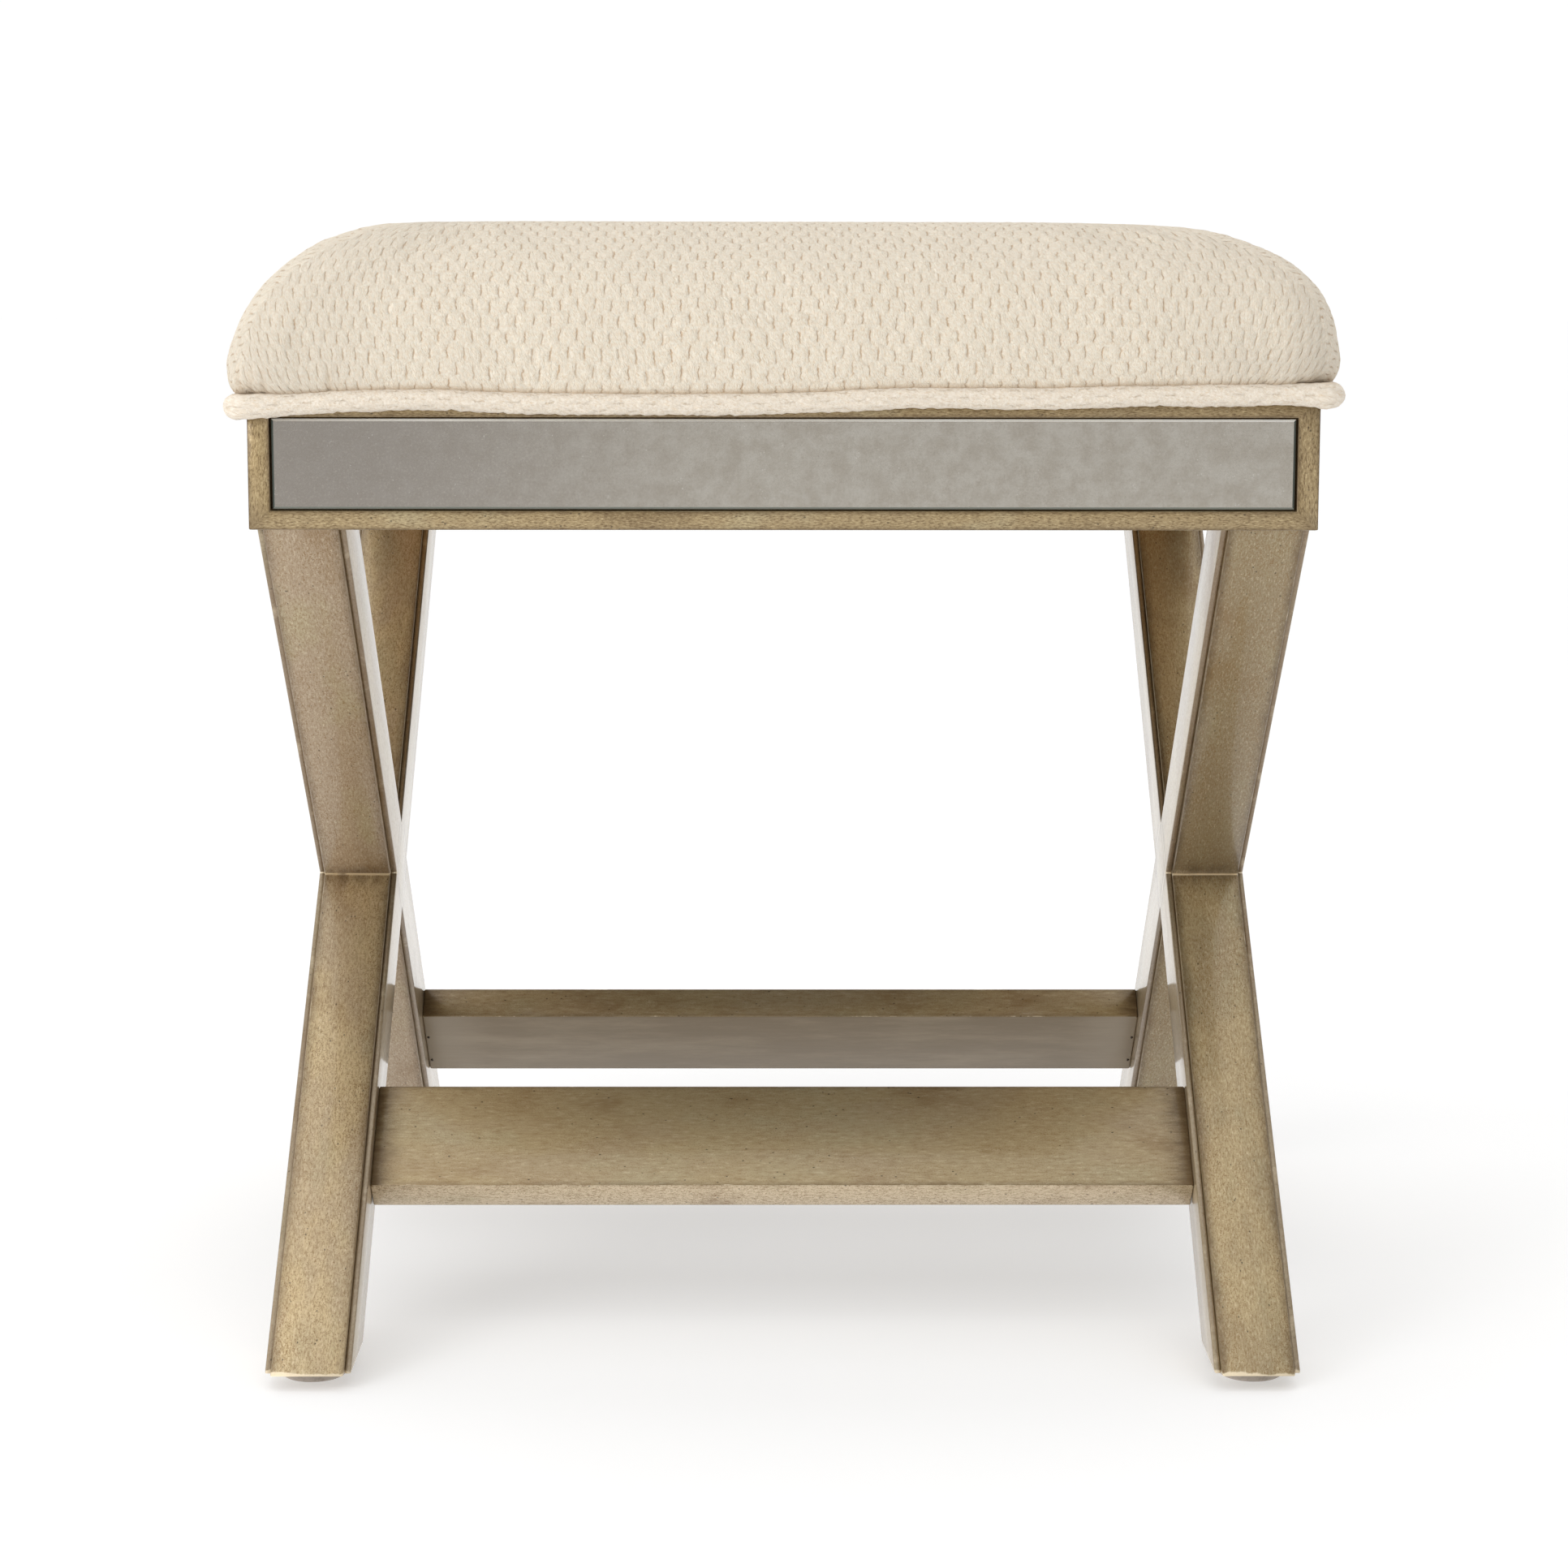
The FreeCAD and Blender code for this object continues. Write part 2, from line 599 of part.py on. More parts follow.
def leg_fixings(stool):
    """Bolts, washers and threaded inserts that hold the leg tops to the bearers."""
    sizes = stool.sizes
    bolts, washers, inserts, leg_holes, bearer_holes = [], [], [], [], []
    seat = stool.apron_bottom + sizes.bearer_height
    thread_bottom = stool.apron_bottom - sizes.bolt_reach
    bolt_hole = sizes.bolt_diameter + stool.hole
    for index, (corner, side_x, side_y) in enumerate(CORNERS):
        x, y = stool.bolt_x * side_x, stool.bolt_y * side_y
        head_bottom = seat + sizes.washer_thick
        shank = place(rod(stool.doc, "bolt_shank_" + corner, sizes.bolt_diameter,
                          head_bottom - thread_bottom), x, y, thread_bottom)
        head = place(rod(stool.doc, "bolt_head_" + corner, sizes.bolt_head, sizes.bolt_head_height),
                     x, y, head_bottom)
        socket = stool.doc.addObject("Part::Prism", "bolt_socket_" + corner)
        socket.Polygon = 6
        socket.setExpression("Circumradius", "%s / sqrt(3)" % sizes.bolt_socket)
        socket.setExpression("Height", str(sizes.bolt_head_height))
        place(socket, x, y, head_bottom + sizes.bolt_head_height / 2)
        solid = fuse(stool.doc, "bolt_solid_" + corner, [shank, head])
        bolts.append(cut(stool.doc, "leg_bolt_" + corner, solid, [socket]))
        disc = place(rod(stool.doc, "washer_disc_" + corner, sizes.washer_diameter,
                         sizes.washer_thick), x, y, seat)
        bore = place(rod(stool.doc, "washer_bore_" + corner, bolt_hole, sizes.washer_thick * 3),
                     x, y, seat - sizes.washer_thick)
        washers.append(cut(stool.doc, "leg_washer_" + corner, disc, [bore]))
        insert_bottom = stool.apron_bottom - sizes.insert_length
        sleeve = place(rod(stool.doc, "insert_sleeve_" + corner, sizes.insert_diameter,
                           sizes.insert_length), x, y, insert_bottom)
        thread = place(rod(stool.doc, "insert_thread_" + corner, bolt_hole,
                           sizes.insert_length * 2), x, y, insert_bottom - sizes.hole_gap)
        inserts.append(cut(stool.doc, "leg_insert_" + corner, sleeve, [thread]))
        seat_bore = rod(stool.doc, "insert_hole_" + corner, sizes.insert_diameter + stool.hole,
                        sizes.insert_length + sizes.hole_gap)
        leg_holes.append(place(seat_bore, x, y, insert_bottom - sizes.hole_gap))
        bearer_bore = rod(stool.doc, "bolt_hole_" + corner, bolt_hole, sizes.bearer_height * 2)
        bearer_holes.append(place(bearer_bore, x, y, stool.apron_bottom - sizes.hole_gap))
    stool.keep(group(stool.doc, "leg_bolts", bolts))
    stool.keep(group(stool.doc, "leg_washers", washers))
    stool.keep(group(stool.doc, "leg_inserts", inserts))
    return leg_holes, bearer_holes


def stretcher_frame(stool, rank):
    """Centre and turn of a stretcher board: rank is -1 for the front and +1 for the back."""
    sizes = stool.sizes
    height = sizes.stretcher_height
    reach = stool.leg_run * height / sizes.leg_height
    centre_y = (stool.foot_centre - reach) * rank
    centre_z = stool.leg_bottom + height
    tilt = "atan(%s / %s)" % (sizes.leg_height, stool.leg_run)
    if rank > 0:
        lift = sizes.back_lift
        centre_y = centre_y + lift * sizes.leg_height / stool.leg_slant
        centre_z = centre_z + lift * stool.leg_run / stool.leg_slant
        tilt = "180 deg - " + tilt
    return centre_y, centre_z, "rotationx(%s)" % tilt


def stretcher_parts(stool):
    """The two stretchers, the dowels that join them to the legs and their slanted brads."""
    sizes = stool.sizes
    dowels, brads, blanks = [], [], []
    holes = {1: [], -1: []}
    half = sizes.stretcher_width / 2
    drop = half * sizes.leg_height / stool.leg_slant
    height = sizes.stretcher_height
    upper_end = stool.x_at(stool.leg_inner, height + drop) - sizes.stretcher_fit
    lower_end = stool.x_at(stool.leg_inner, height - drop) - sizes.stretcher_fit
    face = stool.x_at(stool.leg_inner, height)
    for name, rank in (("front", -1), ("back", 1)):
        centre_y, centre_z, tilt = stretcher_frame(stool, rank)
        body = new_body(stool.doc, name + "_stretcher_blank")
        plan = polygon(body, name + "_stretcher_plan", "XY_Plane", NOTHING,
                       [(-lower_end, -half), (lower_end, -half), (upper_end, half), (-upper_end, half)])
        pad(body, plan, sizes.stretcher_thick, symmetric=True)
        place(body, 0, centre_y, centre_z, tilt)
        blanks.append((name, body))
        base = "placement(vector(0; %s; %s); %s)" % (centre_y, centre_z, tilt)
        for end in (-1, 1):
            for row, rise in (("upper", sizes.dowel_upper), ("lower", -sizes.dowel_lower)):
                tag = "%s_%s_%s" % (name, row, "right" if end > 0 else "left")
                local = "placement(vector(%s; %s; 0); rotationy(%d))" % (
                    (face - sizes.dowel_half) * end, rise, 90 * end)
                dowel = rod(stool.doc, "dowel_" + tag, sizes.dowel_diameter, sizes.dowel_half * 2)
                dowel.setExpression("Placement", base + " * " + local)
                dowels.append(dowel)
                hole = rod(stool.doc, "dowel_hole_" + tag, sizes.dowel_diameter + stool.hole,
                           sizes.dowel_half * 2 + sizes.hole_gap * 2)
                start = (face - sizes.dowel_half - sizes.hole_gap) * end
                hole.setExpression("Placement", "%s * placement(vector(%s; %s; 0); rotationy(%d))" % (
                    base, start, rise, 90 * end))
                holes[end].append(hole)
            for row, rise in (("upper", sizes.brad_upper), ("lower", -sizes.brad_lower)):
                tag = "%s_%s_%s" % (name, row, "right" if end > 0 else "left")
                side = sizes.stretcher_thick / 2 * rank
                turn = "rotationy(%d)" % ((180 - BRAD_ANGLE) * end if rank > 0 else BRAD_ANGLE * end)
                spot = "placement(vector(%s; %s; %s); %s)" % (
                    (lower_end - sizes.brad_end) * end, rise, side, turn)
                brad = rod(stool.doc, "brad_" + tag, sizes.brad_diameter, sizes.brad_length)
                brad.setExpression("Placement", base + " * " + spot)
                brads.append(brad)
                hole = rod(stool.doc, "brad_hole_" + tag, sizes.brad_diameter + stool.hole,
                           sizes.brad_length + sizes.hole_gap + sizes.brad_diameter)
                back = Measure("-1 * Sizes.brad_diameter", -sizes.brad_diameter.value)
                hole.setExpression("Placement", "%s * %s * placement(vector(0; 0; %s); rotationz(0))" % (
                    base, spot, back))
                holes[end].append(hole)
    for name, body in blanks:
        stool.keep(cut(stool.doc, name + "_stretcher", body, holes[1] + holes[-1]))
    stool.keep(group(stool.doc, "stretcher_dowels", dowels))
    stool.keep(group(stool.doc, "stretcher_brads", brads))
    return holes


def glides(stool):
    """A round glide under each foot, and the screws that hold the glides."""
    sizes = stool.sizes
    screws, holes = [], []
    x_middle = (stool.leg_inner + stool.leg_outer) / 2 + sizes.leg_splay
    length = sizes.glide_screw_reach + sizes.glide_height - sizes.glide_bevel
    for corner, side_x, side_y in CORNERS:
        x, y = x_middle * side_x, stool.foot_centre * side_y
        body = new_body(stool.doc, "foot_glide_%s_blank" % corner)
        disc = circle(body, corner + "_glide_disc", "XY_Plane", NOTHING,
                      (NOTHING, NOTHING), sizes.glide_diameter)
        puck = pad(body, disc, sizes.glide_height)
        stool.doc.recompute()
        names = edges_of(puck.Shape, lambda point: point.z < 0.01)
        names = [name for name in names if len(puck.Shape.getElement(name).Vertexes) == 1]
        chamfer(body, puck, names, sizes.glide_bevel)
        place(body, x, y, 0)
        name = "glide_screw_" + corner
        screws.append(wood_screw(stool, name, length, x, y, sizes.glide_bevel, "rotationz(0)"))
        hole = screw_hole(stool, name, length, sizes.glide_height, x, y, sizes.glide_bevel, "rotationz(0)")
        holes.append(hole)
        stool.keep(cut(stool.doc, "foot_glide_" + corner, body, [hole]))
    stool.keep(group(stool.doc, "glide_screws", screws))
    return holes


def end_frames(stool, leg_holes, joint_holes):
    """The two crossed end frames: two lapped legs between two crossed panels each."""
    for side, turn in ENDS:
        first, second = ("front", "back") if turn == 0 else ("back", "front")
        joints = joint_holes[1 if turn == 0 else -1]
        leg(stool, side, first, 1, turn, leg_holes + joints)
        leg(stool, side, second, -1, turn, leg_holes + joints)
        side_panel(stool, side, "inner", turn, joints)
        side_panel(stool, side, "outer", turn, joints)


def pillow(stool, name, grow, bottom, tuck):
    """A soft block with rounded top edges; grow moves every face outwards."""
    sizes = stool.sizes
    body = new_body(stool.doc, name)
    reach_x = stool.half_width + sizes.cushion_overhang + grow
    reach_y = stool.half_depth + sizes.cushion_overhang + grow
    shoulder = stool.lip_bottom + sizes.cushion_side
    rise = stool.cushion_top - shoulder + grow
    corner = sizes.cushion_corner
    sections = [rounded_rectangle(body, name + "_hem", bottom, reach_x - tuck, reach_y - tuck, corner),
                rounded_rectangle(body, name + "_low", bottom + (shoulder - bottom) / 2,
                                  reach_x, reach_y, corner)]
    for band in range(PILLOW_BANDS + 1):
        turn = math.radians(90 * band / PILLOW_BANDS)
        inward = sizes.cushion_roll * (1 - math.cos(turn))
        level = shoulder + rise * math.sin(turn)
        sections.append(rounded_rectangle(body, "%s_band_%d" % (name, band), level,
                                          reach_x - inward, reach_y - inward, corner + inward / 2))
    loft(body, sections, name + "_loft")
    return body


def seat_pieces(stool, board_tools):
    """The seat board, its foam and cover, the welt cord and the dust cover."""
    sizes = stool.sizes
    doc = stool.doc
    board = new_body(doc, "seat_board_blank")
    plan = rounded_rectangle(board, "seat_board_plan", stool.apron_top, stool.board_x, stool.board_y,
                             sizes.board_corner)
    pad(board, plan, sizes.board_thick)
    stool.keep(cut(doc, "seat_board", board, board_tools))

    inset = -(sizes.cover_thick + sizes.soft_gap)
    foam = pillow(stool, "seat_foam", inset, stool.board_top, NOTHING)
    stool.keep(foam)

    skin = pillow(stool, "cover_skin", NOTHING, stool.lip_bottom, sizes.cushion_tuck)
    skirt = new_body(doc, "cover_skirt")
    wrap = sizes.soft_gap + sizes.cover_thick
    hem = rounded_rectangle(skirt, "cover_skirt_plan", stool.apron_top, stool.board_x + wrap,
                            stool.board_y + wrap, sizes.board_corner + wrap)
    pad(skirt, hem, stool.lip_bottom - stool.apron_top + sizes.cover_thick)
    hollow = pillow(stool, "cover_hollow", -sizes.cover_thick, stool.board_top - sizes.soft_gap,
                    NOTHING)
    well = new_body(doc, "cover_well")
    gap = sizes.soft_gap
    mouth = rounded_rectangle(well, "cover_well_plan", stool.apron_top - gap, stool.board_x + gap,
                              stool.board_y + gap, sizes.board_corner + gap)
    pad(well, mouth, sizes.board_thick + gap * 2)
    shell = fuse(doc, "cover_shell", [skin, skirt])
    inside = fuse(doc, "cover_inside", [hollow, well])
    stool.keep(cut(doc, "seat_cover", shell, [inside]))


def welt(stool):
    """A round cord along the bottom edge of the cushion."""
    sizes = stool.sizes
    radius = sizes.welt_diameter / 2
    level = stool.lip_bottom - sizes.soft_gap - radius
    out_x = stool.half_width + sizes.soft_gap + radius
    out_y = stool.half_depth + sizes.soft_gap + radius
    body = new_body(stool.doc, "seat_welt")
    path = rounded_rectangle(body, "seat_welt_path", level, out_x, out_y, radius + sizes.welt_inner)
    section = circle(body, "seat_welt_section", "YZ_Plane", NOTHING, (-out_y, level),
                     sizes.welt_diameter)
    cord = body.newObject("PartDesign::AdditivePipe", "seat_welt_cord")
    cord.Profile = section
    stool.doc.recompute()
    names = ["Edge%d" % (index + 1) for index in range(len(path.Shape.Edges))]
    cord.Spine = (path, names)
    stool.keep(body)


def dust_cover(stool):
    """A thin cloth under the seat board with its corners cut off, and its staples."""
    sizes = stool.sizes
    doc = stool.doc
    reach_x = stool.inner_x - sizes.dust_inset
    reach_y = stool.inner_y - sizes.dust_inset
    corner = sizes.block_leg + sizes.dust_inset
    level = stool.apron_top - sizes.dust_thick
    body = new_body(doc, "dust_cover_blank")
    cut_x, cut_y = reach_x - corner, reach_y - corner
    plan = polygon(body, "dust_cover_plan", "XY_Plane", level,
                   [(-cut_x, -reach_y), (cut_x, -reach_y), (reach_x, -cut_y), (reach_x, cut_y),
                    (cut_x, reach_y), (-cut_x, reach_y), (-reach_x, cut_y), (-reach_x, -cut_y)])
    pad(body, plan, sizes.dust_thick)
    staples = []
    wire = sizes.staple_wire
    for side, turn in SIDES:
        along, reach = (cut_x, reach_y) if turn % 180 == 0 else (cut_y, reach_x)
        for index in range(STAPLES_PER_SIDE):
            share = (index + 0.5) / STAPLES_PER_SIDE * 2 - 1
            tag = "%s_%d" % (side, index)
            bar = doc.addObject("Part::Box", "staple_bar_" + tag)
            notch = doc.addObject("Part::Box", "staple_notch_" + tag)
            inner = sizes.staple_crown - wire * 2
            rise = sizes.staple_leg
            for box, length, height in ((bar, sizes.staple_crown, rise + wire), (notch, inner, rise)):
                box.setExpression("Length", str(length))
                box.setExpression("Width", str(wire))
                box.setExpression("Height", str(height))
            base = "placement(vector(0; 0; 0); rotationz(%d))" % turn
            spot_y = sizes.staple_inset - reach
            for box, length, bottom in ((bar, sizes.staple_crown, level - wire), (notch, inner, level)):
                spot_x = along * share - length / 2
                box.setExpression("Placement", "%s * placement(vector(%s; %s; %s); rotationz(0))" % (
                    base, spot_x, spot_y, bottom))
            staples.append(cut(doc, "staple_" + tag, bar, [notch]))
    stool.keep(cut(doc, "dust_cover", body, staples))
    return stool.keep(group(doc, "dust_cover_staples", staples))


def build(doc):
    """Every sub-part of the stool, in the order it is put together."""
    stool = Stool(doc, make_sheet(doc))
    insert_holes, bolt_holes = leg_fixings(stool)
    block_holes = block_screws(stool)
    bearer_holes = bearer_screws(stool)
    joint_holes = stretcher_parts(stool)
    glide_holes = glides(stool)
    end_frames(stool, insert_holes + glide_holes, joint_holes)
    bearers(stool, bolt_holes + bearer_holes)
    apron_rails(stool, block_holes + bearer_holes)
    mirrors(stool)
    corner_blocks(stool, block_holes)
    staples = dust_cover(stool)
    seat_pieces(stool, block_holes + [staples])
    welt(stool)
    return stool.pieces


def check(doc, pieces):
    """Stop if any object failed or any sub-part is empty or invalid."""
    for item in doc.Objects:
        if "Invalid" in item.State or "Error" in item.State:
            raise RuntimeError("failed object: %s %s" % (item.Name, item.State))
    for piece in pieces:
        if piece.Shape.isNull() or not piece.Shape.isValid() or not piece.Shape.Solids:
            raise RuntimeError("bad shape: " + piece.Label)


def write(pieces):
    """One STEP file for each sub-part, named by its label."""
    os.makedirs("parts", exist_ok=True)
    for piece in pieces:
        piece.Shape.exportStep("parts/%s.step" % piece.Label)


document = FreeCAD.newDocument("vanity_stool")
sub_parts = build(document)
document.recompute()
check(document, sub_parts)
write(sub_parts)
for sub_part in sub_parts:
    print("%s: %d solids, %.0f mm3" % (sub_part.Label, len(sub_part.Shape.Solids), sub_part.Shape.Volume))
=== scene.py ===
"""Visual model of a square upholstered vanity stool with a mirrored apron and crossed legs.

The model is in metres. +Z is up, the floor is Z = 0 and the front looks along -Y.
"""
import logging
import math
from dataclasses import dataclass
from enum import Enum
from typing import Callable, Sequence

import bmesh
import bpy
import numpy as np
from mathutils import Matrix, Vector, noise


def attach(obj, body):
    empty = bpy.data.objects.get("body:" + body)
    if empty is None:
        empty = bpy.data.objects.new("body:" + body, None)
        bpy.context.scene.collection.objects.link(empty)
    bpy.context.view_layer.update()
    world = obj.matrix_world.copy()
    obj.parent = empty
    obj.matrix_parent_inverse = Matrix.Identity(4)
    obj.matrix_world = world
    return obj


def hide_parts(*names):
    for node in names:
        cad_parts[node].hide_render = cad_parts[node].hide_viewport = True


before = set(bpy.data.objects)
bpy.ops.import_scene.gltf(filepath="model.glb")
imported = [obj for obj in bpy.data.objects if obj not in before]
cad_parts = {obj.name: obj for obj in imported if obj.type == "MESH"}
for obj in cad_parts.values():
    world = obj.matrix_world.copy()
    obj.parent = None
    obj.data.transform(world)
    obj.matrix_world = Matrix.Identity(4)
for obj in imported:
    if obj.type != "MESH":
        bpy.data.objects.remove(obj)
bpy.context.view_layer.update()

MM = 0.001
TINY = 1e-9
WHITE = (255, 255, 255)
# A face looks along a direction when its normal goes more than this share along it.
FACING = 0.9
# The way to the crossing for pieces that have none, far beyond their ends.
NO_JOINT = 9.0
RIGHT, BACK, UP = Vector((1, 0, 0)), Vector((0, 1, 0)), Vector((0, 0, 1))
Tone = tuple[int, int, int]
Triple = tuple[float, float, float]
Body = tuple[Sequence[Triple], Sequence[Sequence[int]]]
Piece = bpy.types.Object
Material = bpy.types.Material
Socket = bpy.types.NodeSocket

log = logging.getLogger("vanity_stool")


def shade(tone: Tone) -> tuple[float, ...]:
    """Turn a display colour, from 0 to 255, into the linear colour that shaders take."""
    parts = [value / 255 for value in tone]
    return (*[part / 12.92 if part <= 0.04045 else ((part + 0.055) / 1.055) ** 2.4 for part in parts], 1.0)


class Value:
    """A number, vector or colour on its way through a node tree."""

    def __init__(self, tree: "Tree", socket: Socket) -> None:
        """Hold a socket of the tree."""
        self.tree, self.socket = tree, socket

    def math(self, operation: str, first: "Value | float", second: "Value | float" = 0.0) -> "Value":
        """Work out one number from two."""
        return self.tree.node("Math", {0: first, 1: second}, operation=operation)

    def __add__(self, other: "Value | float") -> "Value":
        """The sum."""
        return self.math("ADD", self, other)

    def __sub__(self, other: "Value | float") -> "Value":
        """The difference."""
        return self.math("SUBTRACT", self, other)

    def __rsub__(self, other: float) -> "Value":
        """The difference from a number."""
        return self.math("SUBTRACT", other, self)

    def __mul__(self, other: "Value | float") -> "Value":
        """The product."""
        return self.math("MULTIPLY", self, other)

    def __pow__(self, other: float) -> "Value":
        """The power."""
        return self.math("POWER", self, other)

    def __abs__(self) -> "Value":
        """The size without its sign."""
        return self.math("ABSOLUTE", self)

    def floor(self) -> "Value":
        """The whole number below."""
        return self.math("FLOOR", self)

    def fract(self) -> "Value":
        """The part over the whole number below."""
        return self.math("FRACT", self)

    def least(self, other: "Value | float") -> "Value":
        """The smaller of two."""
        return self.math("MINIMUM", self, other)

    def most(self, other: "Value | float") -> "Value":
        """The larger of two."""
        return self.math("MAXIMUM", self, other)

    def part(self, axis: int) -> "Value":
        """One axis of a vector."""
        return self.tree.node("SeparateXYZ", {0: self}, axis)

    def stretch(self, factors: Triple) -> "Value":
        """Multiply a vector by fixed factors."""
        return self.tree.node("VectorMath", {0: self, 1: factors}, operation="MULTIPLY")

    def cloud(self, cells: float | Triple, detail: float, rough: float) -> "Value":
        """Soft noise from 0 to 1.

        Args:
            cells: Cells in a unit of the vector, the same for every axis or one for each.
            detail: Octaves of finer noise.
            rough: Share of the finer noise.

        Returns:
            The noise at this place.
        """
        place = self
        if isinstance(cells, tuple):
            place, cells = self.stretch(cells), 1.0
        feeds = {"Vector": place, "Scale": cells, "Detail": detail, "Roughness": rough}
        return self.tree.node("TexNoise", feeds)

    def dots(self, cells: float) -> "Value":
        """Distance to the nearest of scattered points, in cells."""
        return self.tree.node("TexVoronoi", {"Vector": self, "Scale": cells}, "Distance")

    def rise(self, low: float, high: float, top: float = 1.0, base: float = 0.0) -> "Value":
        """Grow smoothly from base at low to top at high; low may be above high.

        Args:
            low: Where the result is base.
            high: Where the result is top.
            top: The result at high and beyond.
            base: The result at low and before.

        Returns:
            The smooth step.
        """
        first, last = (top, base) if low > high else (base, top)
        feeds = {"From Min": min(low, high), "From Max": max(low, high), "To Min": first, "To Max": last}
        return self.tree.node("MapRange", {"Value": self, **feeds}, interpolation_type="SMOOTHSTEP")

    def blend(self, first: "Value | Tone", second: "Value | Tone") -> "Value":
        """Mix two colours, with this value as the share of the second."""
        return self.tree.node("Mix", {0: self, 6: first, 7: second}, 2, data_type="RGBA")

    def bump(self, depth: float, strength: float) -> "Value":
        """The surface's normal when this value is a height; depth is in metres."""
        return self.tree.node("Bump", {"Height": self, "Distance": depth, "Strength": strength}, "Normal")


class Tree:
    """A small builder for the node tree of a material or a sky."""

    def __init__(self, owner: Material | bpy.types.World) -> None:
        """Work on the owner's node tree."""
        owner.use_nodes = True
        self.nodes, self.links = owner.node_tree.nodes, owner.node_tree.links

    def node(self, kind: str, feeds: dict[int | str, "Value | float | Tone"], output: int | str = 0,
             **settings: str) -> Value:
        """Add a node.

        Args:
            kind: Its type.
            feeds: What goes into each of its inputs.
            output: The output that is read.
            settings: Its other settings.

        Returns:
            What it gives.
        """
        made = self.nodes.new("ShaderNode" + kind)
        for name, setting in settings.items():
            setattr(made, name, setting)
        for name, source in feeds.items():
            self.feed(source, made.inputs[name])
        return Value(self, made.outputs[output])

    def feed(self, source: "Value | float | Tone", target: Socket) -> None:
        """Link a value, or set a constant, on an input.

        Args:
            source: The value, number, vector or display colour.
            target: The input.
        """
        if isinstance(source, Value):
            self.links.new(source.socket, target)
        else:
            target.default_value = shade(source) if target.type == "RGBA" else source


class Recipe(Tree):
    """The nodes of one material, around its only shader."""

    def __init__(self, name: str) -> None:
        """Start an empty material with one shader.

        Args:
            name: The material's name.
        """
        self.material = bpy.data.materials.new(name)
        super().__init__(self.material)
        self.nodes.clear()
        self.shader = self.nodes.new("ShaderNodeBsdfPrincipled")
        self.links.new(self.shader.outputs[0], self.nodes.new("ShaderNodeOutputMaterial").inputs[0])

    def attribute(self, name: str) -> Value:
        """Read a vector that is stored on the mesh."""
        return self.node("Attribute", {}, "Vector", attribute_name=name)

    def place(self) -> Value:
        """Read the object's own coordinates."""
        return self.node("TexCoord", {}, "Object")

    def upward(self) -> Value:
        """How far a face looks up, from -1 to 1."""
        return self.node("NewGeometry", {}, "Normal").part(2)

    def join(self, x: Value | float, y: Value | float, z: Value | float) -> Value:
        """Put a vector together."""
        return self.node("CombineXYZ", {0: x, 1: y, 2: z})

    def done(self, feeds: dict[str, Value | float | Tone]) -> Material:
        """Feed the shader's inputs.

        Args:
            feeds: What goes into each input.

        Returns:
            The finished material.
        """
        for name, source in feeds.items():
            self.feed(source, self.shader.inputs[name])
        return self.material


def layered(ground: Value | Tone, *coats: tuple[Value, Value | Tone]) -> Value:
    """Lay coats of colour over a ground.

    Args:
        ground: The first colour.
        coats: The share and the colour of each coat.

    Returns:
        The colour of all together.
    """
    for share, colour in coats:
        ground = share.blend(ground, colour)
    return ground


